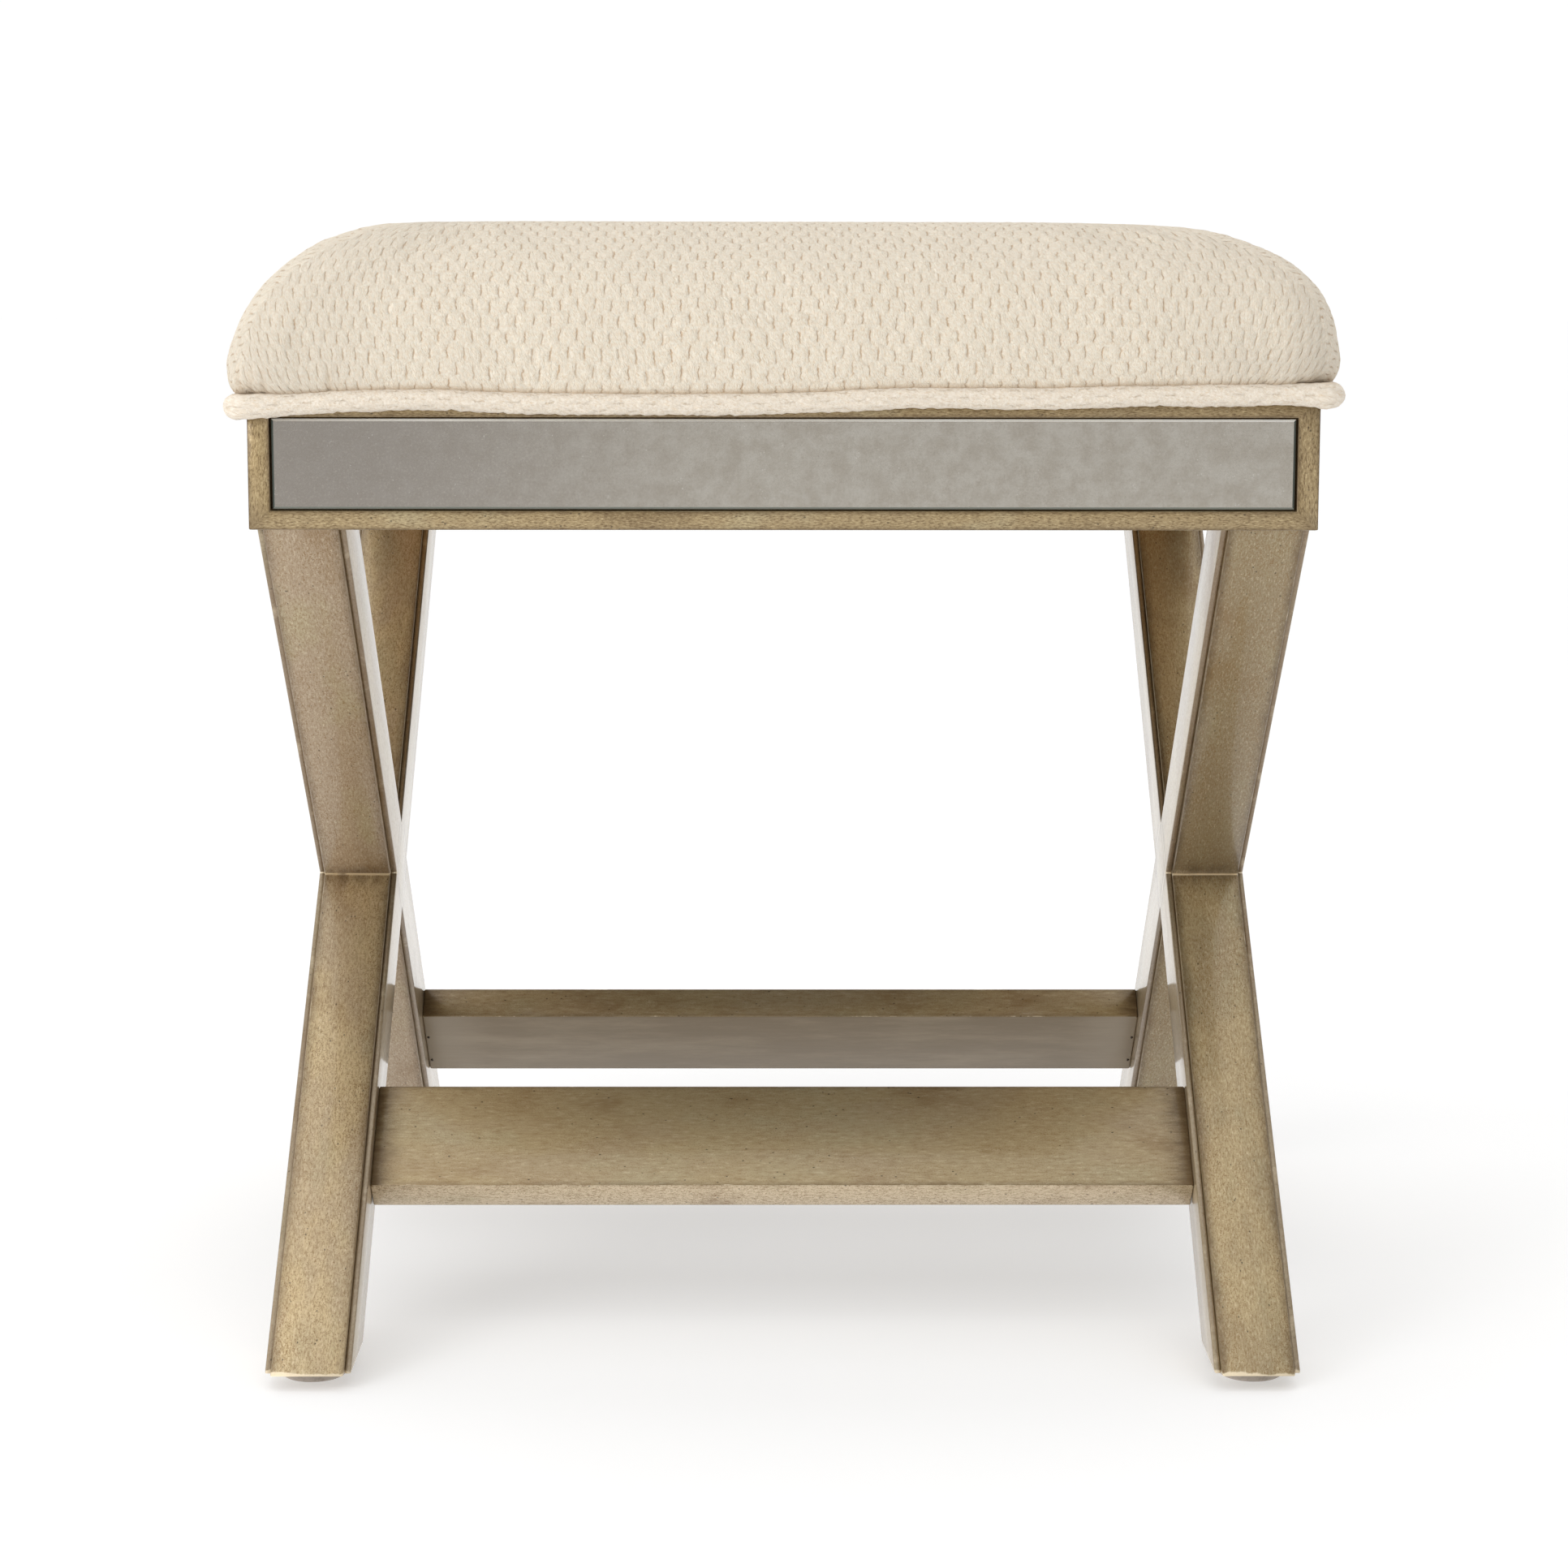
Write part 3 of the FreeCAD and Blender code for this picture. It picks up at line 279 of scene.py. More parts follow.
@dataclass(frozen=True)
class LeafFinish:
    """Champagne metal leaf under a brown glaze and a glossy clear coat.

    It reads two vectors from the mesh. "grain" is the place along and across the face and the
    half width of the face. "ends" is the way to both ends and to the joint on the way.
    """

    name: str = "champagne_leaf"
    leaf: Tone = (202, 180, 139)
    # Darker rosy tone: painted shade and floor reflection on faces that look down, and broad random patches.
    rosy_patch_and_reflection: Tone = (172, 153, 128)
    cool: Tone = (176, 163, 128)
    glaze: Tone = (86, 64, 36)
    speck: Tone = (132, 101, 58)
    worn: Tone = (236, 220, 190)
    black: Tone = (44, 34, 20)
    glaze_width: float = 5 * MM
    glaze_share: float = 0.6
    end_share: float = 0.0
    end_ragged: float = 14 * MM
    joint_share: float = 0.6
    joint_ragged: float = 26 * MM
    narrow_share: float = 0.45
    foot_share: float = 0.0
    foot_ragged: float = 6 * MM
    rub_share: float = 0.3
    crest_share: float = 0.85
    fleck: float = 0.85
    crowding: float = 0.2
    streak: float = 0.6
    strokes: Triple = (420, 1300, 420)
    grit_cells: Triple = (1400, 1900, 1400)
    metallic: float = 0.6
    gloss: float = 0.34
    coat: float = 0.6
    haze: float = 0.14
    valley: float = 18.8 * MM

    def material(self) -> Material:
        """Build the node tree.

        Returns:
            The finished material.
        """
        recipe = Recipe(self.name)
        grain, ends = recipe.attribute("grain"), recipe.attribute("ends")
        edge = grain.part(2) - abs(grain.part(1))
        # How far a face looks down; it drives painted shade and reflection on those faces.
        under = recipe.upward().rise(0.15, -0.55)
        strokes = grain.cloud(self.strokes, 4, 0.65)
        grit = grain.cloud(self.grit_cells, 3, 0.6)
        broad = grain.cloud((14, 34, 14), 3, 0.6)
        green = grain.cloud((19, 40, 23), 3, 0.6)
        gathered = grit + grain.cloud((24, 60, 30), 3, 0.6) * self.crowding
        rare = grain.cloud((130, 210, 130), 1, 0.5).rise(0.52, 0.6)
        tone = layered(
            self.leaf,
            # Painted shade and floor reflection: faces that look down turn rosy and darker, with broad
            # random rosy patches.
            (under.most(broad.rise(0.4, 0.62) * 0.6), self.rosy_patch_and_reflection),
            (green.rise(0.5, 0.72, 0.6), self.cool),
            (green.rise(0.46, 0.26, 0.5), self.speck),
            (strokes.rise(0.46, 0.7, self.streak), self.speck),
            (strokes.rise(0.46, 0.3, 0.5 * self.streak), self.worn),
            (gathered.rise(0.6, 0.8, self.fleck), self.speck),
            (grain.stretch((1, 1.6, 1)).dots(240).rise(0.17, 0.09, 0.7) * rare, self.black),
            (self.pooled(grain, ends, edge, under), self.glaze),
            (self.rubbed(grain, ends, edge), self.worn),
        )
        return recipe.done({
            "Base Color": tone,
            "Roughness": strokes * 0.24 + self.gloss,
            "Normal": (strokes + grit * 0.6).bump(0.1 * MM, 0.45),
            "Metallic": self.metallic,
            "Coat Weight": self.coat,
            "Coat Roughness": self.haze,
            "Coat IOR": 1.45,
        })

    def pooled(self, grain: Value, ends: Value, edge: Value, under: Value) -> Value:
        """Share of brown glaze that gathers along edges, at ends, at the joint and on strips; strips that
        look down get more, as painted shade.

        Args:
            grain: The place on the face.
            ends: The way to the ends and to the joint.
            edge: The way to the nearest long edge.
            under: How far the face looks down; it adds painted shade to the strips.

        Returns:
            The share.
        """
        shift = grain.cloud((90, 260, 90), 4, 0.65) - 0.5
        near_edge = edge + shift * (1.2 * self.glaze_width)
        near_edge = near_edge.rise(self.glaze_width, -0.4 * self.glaze_width, self.glaze_share)
        near_end = ends.part(0).least(ends.part(1)) + shift * self.end_ragged
        near_end = near_end.rise(16 * MM, -3 * MM, self.end_share)
        near_joint = self.from_valley(ends) + shift * self.joint_ragged
        near_joint = near_joint.rise(12 * MM, -5 * MM, self.joint_share)
        # Painted shade: narrow strips that look down get darker glaze.
        narrow = grain.part(2).rise(4 * MM, 2 * MM, self.narrow_share) * (under * 0.45 + 0.55)
        return near_edge.most(narrow).most(near_end.most(near_joint))

    def from_valley(self, ends: Value) -> Value:
        """Way to the nearest valley, where the faces of two crossing legs meet."""
        return abs(abs(ends.part(2)) - self.valley)

    def rubbed(self, grain: Value, ends: Value, edge: Value) -> Value:
        """Share of bare bright metal where the foot, edges and the joint's crest are rubbed.

        Args:
            grain: The place on the face.
            ends: The way to the ends and to the joint.
            edge: The way to the nearest long edge.

        Returns:
            The share.
        """
        chips = grain.cloud((70, 70, 70), 4, 0.7)
        line = edge.rise(0.9 * MM, 0.3 * MM) * chips.rise(0.54, 0.7, self.rub_share)
        crest = self.from_valley(ends).rise(0.9 * MM, 0.4 * MM) * chips.rise(0.2, 0.45, self.crest_share)
        foot = ends.part(0) + (chips - 0.5) * self.foot_ragged
        return foot.rise(2.4 * MM, 1.4 * MM, self.foot_share).most(line.most(crest))


@dataclass(frozen=True)
class MirrorFinish:
    """Antiqued mirror: a grey silvering with soft mottling and fine light specks."""

    name: str = "antiqued_mirror"
    silver: Tone = (183, 178, 168)
    tarnish: Tone = (166, 159, 147)
    dark_reflection_end: Tone = (140, 133, 126)
    light: Tone = (198, 192, 180)
    dark: Tone = (140, 130, 118)
    speck: Tone = (222, 220, 214)

    def material(self) -> Material:
        """Build the node tree, which is dimmer towards the left end, a painted darker reflection.

        Returns:
            The finished material.
        """
        recipe = Recipe(self.name)
        place = recipe.place()
        clouds, fine = place.cloud(110, 6, 0.7), place.cloud(1100, 3, 0.7)
        rare = place.cloud(170, 1, 0.5).rise(0.64, 0.7)
        tone = layered(
            self.tarnish,
            (clouds.rise(0.32, 0.68), self.silver),
            # Painted reflection: darker towards the left end, as the mirror there faces the dimmer room.
            (place.part(0).rise(0.0, -0.2, 0.75), self.dark_reflection_end),
            (fine.rise(0.5, 0.75, 0.3), self.light),
            (fine.rise(0.48, 0.28, 0.3), self.dark),
            (place.dots(800).rise(0.2, 0.1, 0.6) * rare, self.speck),
        )
        return recipe.done({"Base Color": tone, "Roughness": clouds * 0.16 + 0.14, "Metallic": 1.0,
                            "Coat Weight": 0.4, "Coat Roughness": 0.04})


@dataclass(frozen=True)
class GroundEdgeFinish:
    """The ground edge of the mirror glass: white on top, a painted highlight of the light from above, and
    dark green at the sides and below, painted shade.
    """

    name: str = "painted_light_glass_edge"
    top: tuple[Tone, Tone] = ((238, 241, 237), (255, 255, 253))
    sides: Tone = (96, 104, 98)
    below: Tone = (142, 148, 142)

    def material(self) -> Material:
        """Build the node tree.

        Returns:
            The finished material.
        """
        recipe = Recipe(self.name)
        grains = recipe.place().cloud(1800, 2, 0.5)
        upward = recipe.upward()
        # Painted light: the edge turns white where it looks up and dark where it looks sideways and down.
        tone = layered(grains.blend(*self.top), (upward.rise(0.5, 0.1), self.sides),
                       (upward.rise(-0.3, -0.6), self.below))
        return recipe.done({"Base Color": tone, "Normal": grains.bump(0.03 * MM, 0.4),
                            "Roughness": 0.35, "Specular IOR Level": 0.6})


@dataclass(frozen=True)
class PlainLacquerFinish:
    """Smooth grey-brown lacquer on the faces that are turned away, with faint rubbed smudges; its dark tone
    is painted shade, for faces that look at the shadowed floor under the seat.
    """

    name: str = "shaded_plain_lacquer"
    tone: Tone = (121, 106, 84)
    smudge: Tone = (152, 138, 115)
    pale_end: Tone = (158, 146, 128)

    def material(self) -> Material:
        """Build the node tree.

        Returns:
            The finished material.
        """
        recipe = Recipe(self.name)
        grain, ends = recipe.attribute("grain"), recipe.attribute("ends")
        haze, strokes = grain.cloud((12, 60, 30), 6, 0.7), grain.cloud((60, 900, 60), 3, 0.6)
        near_end = ends.part(0).least(ends.part(1)).rise(40 * MM, 0.0, 0.7)
        tone = layered(self.tone, (haze.rise(0.4, 0.75, 0.6), self.smudge), (near_end, self.pale_end))
        return recipe.done({"Base Color": tone, "Roughness": strokes * 0.2 + 0.4,
                            "Normal": strokes.bump(0.05 * MM, 0.4), "Metallic": 0.1,
                            "Coat Weight": 0.3, "Coat Roughness": 0.25})


@dataclass(frozen=True)
class ChenilleFinish:
    """Cream chenille with staggered oval tufts.

    The mesh vector "weave" is the place on the cloth, in tufts, and how near a seam or pleat is, which sets
    painted shade there.
    """

    name: str = "cream_chenille"
    nap: Tone = (255, 246, 229)
    dim: Tone = (249, 234, 211)
    # Darker tone of the fine fibre strokes, painted shade between hairs, and painted shade at the tufts' low
    # edges.
    fibre_shade: Tone = (229, 204, 170)
    # Painted shade in the clefts between tufts.
    groove_shade: Tone = (204, 160, 108)
    # Painted shade along the seam under the hem, at the welt's top and in the pleats.
    seam: Tone = (216, 184, 144)
    sheen: Tone = (255, 249, 241)
    depth: float = 1.5 * MM
    # Share of the painted groove shade.
    cleft: float = 0.6
    loose: float = 0.3
    half_width: float = 0.51
    half_length: float = 0.76

    def material(self) -> Material:
        """Build the node tree.

        Returns:
            The finished material.
        """
        recipe = Recipe(self.name)
        weave = recipe.attribute("weave")
        across = weave.part(0) + weave.cloud(1.9, 2, 0.6) * 0.34 - 0.17
        down = weave.part(1) + weave.cloud(1.4, 2, 0.6) * 0.4 - 0.2
        fibres = recipe.join(across * 13.0 + down * 4.0, down * 2.6, 0.0).cloud(1, 4, 0.72)
        nap = weave.cloud(5, 4, 0.7)
        patchy = recipe.join(across, down, 0.0).cloud(0.8, 2, 0.6).rise(0.3, 0.62)
        body = self.tuft(across, down, nap, fibres)
        groove_shade = self.groove_line(across, down, nap, fibres) * (patchy * 0.6 + 0.4)
        tone = layered(
            self.dim,
            (nap.rise(0.34, 0.66), self.nap),
            # Fine fibre strokes, darkened as painted shade between hairs.
            (fibres.rise(0.52, 0.68, 0.75), self.fibre_shade),
            # Painted shade round the low edges of each tuft.
            (body.rise(0.6, 0.1, 0.35), self.fibre_shade),
            # Painted shade in the clefts between tufts.
            (groove_shade * self.cleft, self.groove_shade),
            # Painted shade at the seam and in the pleats.
            (weave.part(2) * 0.6, self.seam),
        )
        return recipe.done({
            "Base Color": tone,
            "Normal": (body + fibres * 0.8).bump(self.depth, 0.9),
            "Roughness": 0.92,
            "Specular IOR Level": 0.15,
            "Sheen Weight": 0.25,
            "Sheen Roughness": 0.5,
            "Sheen Tint": self.sheen,
        })

    def row_shift(self, down: Value) -> Value:
        """Half a tuft sideways in every second row."""
        return (down.floor() * 0.5).fract()

    def groove_line(self, across: Value, down: Value, nap: Value, fibres: Value) -> Value:
        """Short thin clefts between the tufts of a row, from 0 to 1.

        Args:
            across: Place across the cloth, in tufts.
            down: Place down the cloth, in tufts.
            nap: Broad unevenness.
            fibres: Fine strokes.

        Returns:
            The share of cleft.
        """
        column = (across + self.row_shift(down)).fract()
        edge = 0.5 - abs(column - 0.5) + (fibres - 0.5) * 0.22
        drop = abs(down.fract() - 0.5) + (nap - 0.5) * 0.5
        return edge.rise(0.07, 0.01) * drop.rise(0.48, 0.22)

    def tuft(self, across: Value, down: Value, nap: Value, fibres: Value) -> Value:
        """Height of the nearest tuft, from 0 in a cleft to 1 on its back.

        Args:
            across: Place across the cloth, in tufts.
            down: Place down the cloth, in tufts.
            nap: Broad unevenness.
            fibres: Fine strokes.

        Returns:
            The height.
        """
        loose = (nap - 0.5) * self.loose + (fibres - 0.5) * 0.3
        own_drop = abs(down.fract() - 0.5)
        backs = []
        for shift, drop in ((0.0, own_drop), (0.5, 1.0 - own_drop)):
            side = abs((across + self.row_shift(down) + shift).fract() - 0.5)
            wide, tall = side * (1 / self.half_width), drop * (1 / self.half_length)
            backs.append(1.0 - wide ** 4.0 - tall ** 3.4)
        return (backs[0].most(backs[1]) + loose).most(0.0) ** 0.6


@dataclass(frozen=True)
class BareWoodFinish:
    """Unfinished wood whose grain runs along X of the piece's own space."""

    name: str
    light: Tone
    dark: Tone
    cells: Triple = (6, 160, 160)

    def material(self) -> Material:
        """Build the node tree.

        Returns:
            The finished material.
        """
        recipe = Recipe(self.name)
        place = recipe.place().stretch(self.cells)
        rings, pores = place.cloud(1, 5, 0.65), place.cloud((4, 6, 6), 2, 0.5)
        tone = layered(self.light, (rings.rise(0.35, 0.68), self.dark),
                       (pores.rise(0.6, 0.8, 0.4), self.dark))
        return recipe.done({"Base Color": tone, "Roughness": 0.72, "Normal": pores.bump(0.15 * MM, 0.5)})


@dataclass(frozen=True)
class PlainFinish:
    """A worked metal or plastic surface with fine marks and uneven gloss."""

    name: str
    tone: Tone
    mark: Tone
    metallic: float
    roughness: float
    cells: float = 900.0

    def material(self) -> Material:
        """Build the node tree.

        Returns:
            The finished material.
        """
        recipe = Recipe(self.name)
        marks = recipe.place().cloud(self.cells, 3, 0.6)
        broad = recipe.place().cloud(self.cells / 12, 2, 0.5)
        return recipe.done({"Base Color": marks.rise(0.45, 0.75, 0.6).blend(self.tone, self.mark),
                            "Roughness": broad * 0.2 + (self.roughness - 0.1),
                            "Normal": marks.bump(0.05 * MM, 0.5), "Metallic": self.metallic})


@dataclass(frozen=True)
class DustClothFinish:
    """Thin black non-woven cloth with pressed points."""

    name: str = "dust_cloth"
    black: Tone = (22, 22, 23)
    grey: Tone = (44, 43, 44)
    fuzz: Tone = (70, 69, 70)

    def material(self) -> Material:
        """Build the node tree.

        Returns:
            The finished material.
        """
        recipe = Recipe(self.name)
        points, fuzz = recipe.place().dots(650), recipe.place().cloud(1500, 3, 0.7)
        tone = layered(self.black, (points.rise(0.1, 0.45), self.grey),
                       (fuzz.rise(0.55, 0.75, 0.5), self.fuzz))
        return recipe.done({"Base Color": tone, "Normal": points.bump(0.2 * MM, 0.6),
                            "Roughness": 0.95, "Sheen Weight": 0.2})


class Finishes:
    """Every material of the stool, made once."""

    def __init__(self) -> None:
        """Make the materials."""
        self.leaf = LeafFinish(foot_share=0.85).material()
        # A darker copy of the leaf for the right end frame: painted shade, for the less light that frame
        # gets.
        self.shaded_leaf = LeafFinish(
            "shaded_champagne_leaf", leaf=(182, 162, 122), rosy_patch_and_reflection=(150, 134, 104), cool=(160, 148, 114),
            glaze_share=0.75, foot_share=0.85).material()
        self.apron_leaf = LeafFinish(
            "apron_leaf", leaf=(164, 142, 101), rosy_patch_and_reflection=(158, 138, 103), worn=(228, 208, 164),
            speck=(96, 72, 38), glaze_width=2 * MM, glaze_share=0.85, rub_share=0.0, end_share=0.5,
            fleck=0.4, crowding=0.08, streak=0.85, strokes=(560, 1900, 560)).material()
        # The boards' leaf is darker than the legs': painted shade, as the boards stand under the seat.
        self.shaded_board_leaf = LeafFinish(
            "shaded_board_leaf", leaf=(174, 155, 117), rosy_patch_and_reflection=(170, 151, 120), glaze_width=3 * MM, end_share=0.9,
            narrow_share=0.12, rub_share=1.0, fleck=0.5, streak=0.4, strokes=(180, 800, 180)).material()
        self.panel_leaf = LeafFinish(
            "panel_leaf", leaf=(200, 184, 154), glaze_width=3 * MM, glaze_share=0.45, narrow_share=0.65,
            foot_share=0.7, rub_share=0.25, fleck=0.45, streak=0.3, coat=0.8, gloss=0.28,
            haze=0.08).material()
        # A pale leaf for the boards' lower edge: a painted reflection of the bright floor.
        self.floor_reflection_leaf = LeafFinish(
            "floor_reflection_edge_leaf", leaf=(214, 196, 166), rosy_patch_and_reflection=(214, 196, 166), glaze_width=1.5 * MM,
            glaze_share=0.3).material()
        # Dark lacquer for the board faces turned under the seat: painted shade.
        self.plain = PlainLacquerFinish().material()
        self.mirror = MirrorFinish().material()
        self.glass_edge = GroundEdgeFinish().material()
        self.chenille = ChenilleFinish().material()
        self.welt = ChenilleFinish(
            "welt_chenille", nap=(252, 242, 227), dim=(240, 226, 206), groove_shade=(206, 176, 136),
            cleft=0.15, depth=0.9 * MM, loose=1.0).material()
        self.dust_cloth = DustClothFinish().material()
        self.softwood = BareWoodFinish(
            "bearer_softwood", (205, 172, 122), (160, 120, 74), (160, 6, 160)).material()
        self.block_wood = BareWoodFinish("block_softwood", (210, 178, 130), (168, 128, 82)).material()
        self.plywood = BareWoodFinish("board_plywood", (214, 184, 138), (176, 140, 94)).material()
        self.steel = PlainFinish("zinc_steel", (176, 176, 172), (128, 128, 126), 1.0, 0.38).material()
        self.brass = PlainFinish("insert_brass", (190, 158, 92), (140, 112, 60), 1.0, 0.35).material()
        self.brad = PlainFinish("glazed_brad", (52, 40, 26), (34, 26, 18), 0.2, 0.7).material()
        self.beech = BareWoodFinish("dowel_beech", (216, 184, 140), (186, 150, 104)).material()
        self.glide = PlainFinish("glide_nylon", (186, 176, 166), (150, 140, 130), 0.0, 0.6, 400).material()


@dataclass(frozen=True)
class GrainLine:
    """The centre line and half sizes of one straight piece of wood.

    The joint is the way to the crossing, and lean shifts it so that the valleys on both sides
    of the crossing are equally far from it.
    """

    foot: Vector
    along: Vector
    across: Vector
    half_across: float
    half_depth: float
    length: float
    joint: float
    seed: float = 0.0
    lean: float = 0.0
    scale: float = 1.0
    side_seed: float = 0.4
    end_seed: float = 0.8
    level_end: float = 0.95
    steep: float = 0.3
    no_ends: Triple = (0.05, 0.05, 1.0)

    def read(self, point: Vector, normal: Vector) -> tuple[tuple[float, ...], tuple[float, ...]]:
        """Work out the stored vectors for one corner of a face.

        Args:
            point: The corner.
            normal: The normal of its face.

        Returns:
            The grain vector and the ends vector.
        """
        depth = self.along.cross(self.across)
        offset = point - self.foot
        way, side, deep = (offset.dot(axis) for axis in (self.along, self.across, depth))
        lean = math.copysign(self.lean, normal.z)
        climb = offset.z / self.along.z if abs(self.along.z) > self.steep else way
        ends = (climb, self.length - climb, (way - self.joint) * self.scale + lean)
        if abs(normal.dot(depth)) > FACING:
            return (way + self.seed, side, self.half_across), ends
        if abs(normal.dot(self.across)) > FACING:
            return (way + self.seed + self.side_seed, deep, self.half_depth), ends
        if abs(normal.z) > self.level_end or abs(normal.dot(self.along)) > FACING:
            return (deep + self.seed + self.end_seed, side, self.half_across), self.no_ends
        return (way + self.seed, side, abs(side)), ends


def eased(share: np.ndarray) -> np.ndarray:
    """Clip to 0 and 1, with a soft start and end between them."""
    share = np.clip(share, 0, 1)
    return share * share * (3 - 2 * share)


def walls(rings: int, count: int, closed: bool = False) -> list[tuple[int, ...]]:
    """Faces between rings of points that follow each other.

    Args:
        rings: Number of rings.
        count: Points in a ring.
        closed: Whether the last ring joins the first.

    Returns:
        The corner numbers of each face.
    """
    faces = []
    for ring in range(rings if closed else rings - 1):
        here, after = ring * count, (ring + 1) % rings * count
        for first in range(count):
            second = (first + 1) % count
            faces.append((here + first, here + second, after + second, after + first))
    return faces


def grid(rows: int, columns: int) -> list[list[int]]:
    """Faces of a net of points that are numbered row by row.

    Args:
        rows: Rows of points.
        columns: Points in a row.

    Returns:
        The corner numbers of each face.
    """
    index = np.arange(rows * columns).reshape(rows, columns)
    corners = [index[:-1, :-1], index[:-1, 1:], index[1:, 1:], index[1:, :-1]]
    return np.stack(corners, axis=-1).reshape(-1, 4).tolist()


def stack(*rings: Sequence[Triple]) -> Body:
    """Close rings of points that follow each other with a flat face at each end.

    Args:
        rings: The rings, with as many points in each.

    Returns:
        The body.
    """
    count, last = len(rings[0]), (len(rings) - 1) * len(rings[0])
    caps = [tuple(reversed(range(count))), tuple(range(last, last + count))]
    return [point for ring in rings for point in ring], walls(len(rings), count) + caps


def new_piece(name: str, *bodies: Body) -> Piece:
    """Make a mesh object and put it in the scene.

    Args:
        name: The piece's name.
        bodies: Its bodies: corner places in metres, and the corner numbers of each face.

    Returns:
        The new object.
    """
    points, faces = [], []
    for corners, sides in bodies:
        faces += [[len(points) + corner for corner in side] for side in sides]
        points += list(corners)
    mesh = bpy.data.meshes.new(name)
    mesh.from_pydata(points, [], faces)
    mesh.update()
    piece = bpy.data.objects.new(name, mesh)
    bpy.context.scene.collection.objects.link(piece)
    return piece


def ease_edges(piece: Piece, width: float) -> Piece:
    """Round the sharp edges of a mesh and set its normals outwards.

    Args:
        piece: The object whose mesh changes.
        width: Width of the rounding, in metres.

    Returns:
        The same object.
    """
    shape = bmesh.new()
    shape.from_mesh(piece.data)
    bmesh.ops.recalc_face_normals(shape, faces=shape.faces)
    sharp = [edge for edge in shape.edges if edge.is_manifold and edge.calc_face_angle() > math.radians(25)]
    bmesh.ops.bevel(shape, geom=sharp, offset=width, offset_type="OFFSET", segments=2,
                    profile=0.5, affect="EDGES", clamp_overlap=True)
    shape.to_mesh(piece.data)
    shape.free()
    return smooth(piece)


def smooth(piece: Piece, degrees: float = 50) -> Piece:
    """Shade a piece smoothly but keep its sharp edges crisp.

    Args:
        piece: The object whose mesh changes.
        degrees: The angle over which an edge is sharp.

    Returns:
        The same object.
    """
    piece.data.shade_smooth()
    shape = bmesh.new()
    shape.from_mesh(piece.data)
    for edge in shape.edges:
        edge.smooth = not (edge.is_manifold and edge.calc_face_angle() > math.radians(degrees))
    shape.to_mesh(piece.data)
    shape.free()
    return piece


def lay_grain(piece: Piece, choose: Callable[[Vector, Vector], GrainLine]) -> None:
    """Store the grain and ends vectors on every face corner.

    Args:
        piece: The object whose mesh gets the vectors.
        choose: Gives the grain line for a face from its centre and normal.
    """
    mesh = piece.data
    grain = mesh.attributes.new("grain", "FLOAT_VECTOR", "CORNER")
    ends = mesh.attributes.new("ends", "FLOAT_VECTOR", "CORNER")
    for face in mesh.polygons:
        line = choose(face.center, face.normal)
        for corner in face.loop_indices:
            point = mesh.vertices[mesh.loops[corner].vertex_index].co
            grain.data[corner].vector, ends.data[corner].vector = line.read(point, face.normal)


def lay_weave(piece: Piece, domain: str, places: np.ndarray) -> Piece:
    """Shade a piece smoothly and store its place on the cloth.

    Args:
        piece: The object whose mesh gets the vectors.
        domain: Whether every point or every corner has one.
        places: The vectors.

    Returns:
        The same object.
    """
    piece.data.shade_smooth()
    weave = piece.data.attributes.new("weave", "FLOAT_VECTOR", domain)
    weave.data.foreach_set("vector", places.astype(np.float32).reshape(-1))
    return piece


def settle(piece: Piece, material: Material, slot: str, *nodes: str) -> Piece:
    """Dress a piece, join it to the stool's body and let it stand for its nodes.

    Args:
        piece: The finished piece.
        material: Its finish.
        slot: Its material slot in the record; not used.
        nodes: The CAD nodes that it stands for.

    Returns:
        The same piece.
    """
    piece.data.materials.append(material)
    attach(piece, "root")
    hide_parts(*nodes)
    log.info("%s: %d faces", piece.name, len(piece.data.polygons))
    return piece


def dress_faces(piece: Piece, material: Material, chosen: Callable[[bpy.types.MeshPolygon], bool]) -> None:
    """Give some faces of a dressed piece another finish.

    Args:
        piece: A piece that has its first finish.
        material: The other finish.
        chosen: Says whether a face gets it.
    """
    piece.data.materials.append(material)
    for face in piece.data.polygons:
        if chosen(face):
            face.material_index = len(piece.data.materials) - 1


def turned(piece: Piece, degrees: float) -> Piece:
    """Turn a piece about the stool's upright centre line."""
    piece.matrix_world = Matrix.Rotation(math.radians(degrees), 4, "Z")
    return piece


class Side(Enum):
    """The four sides of the apron and their turns from the front."""

    FRONT = 0
    RIGHT = 90
    BACK = 180
    LEFT = 270


class Layer(Enum):
    """The two faces of an end frame that carry a panel."""

    INNER = "inner"
    OUTER = "outer"


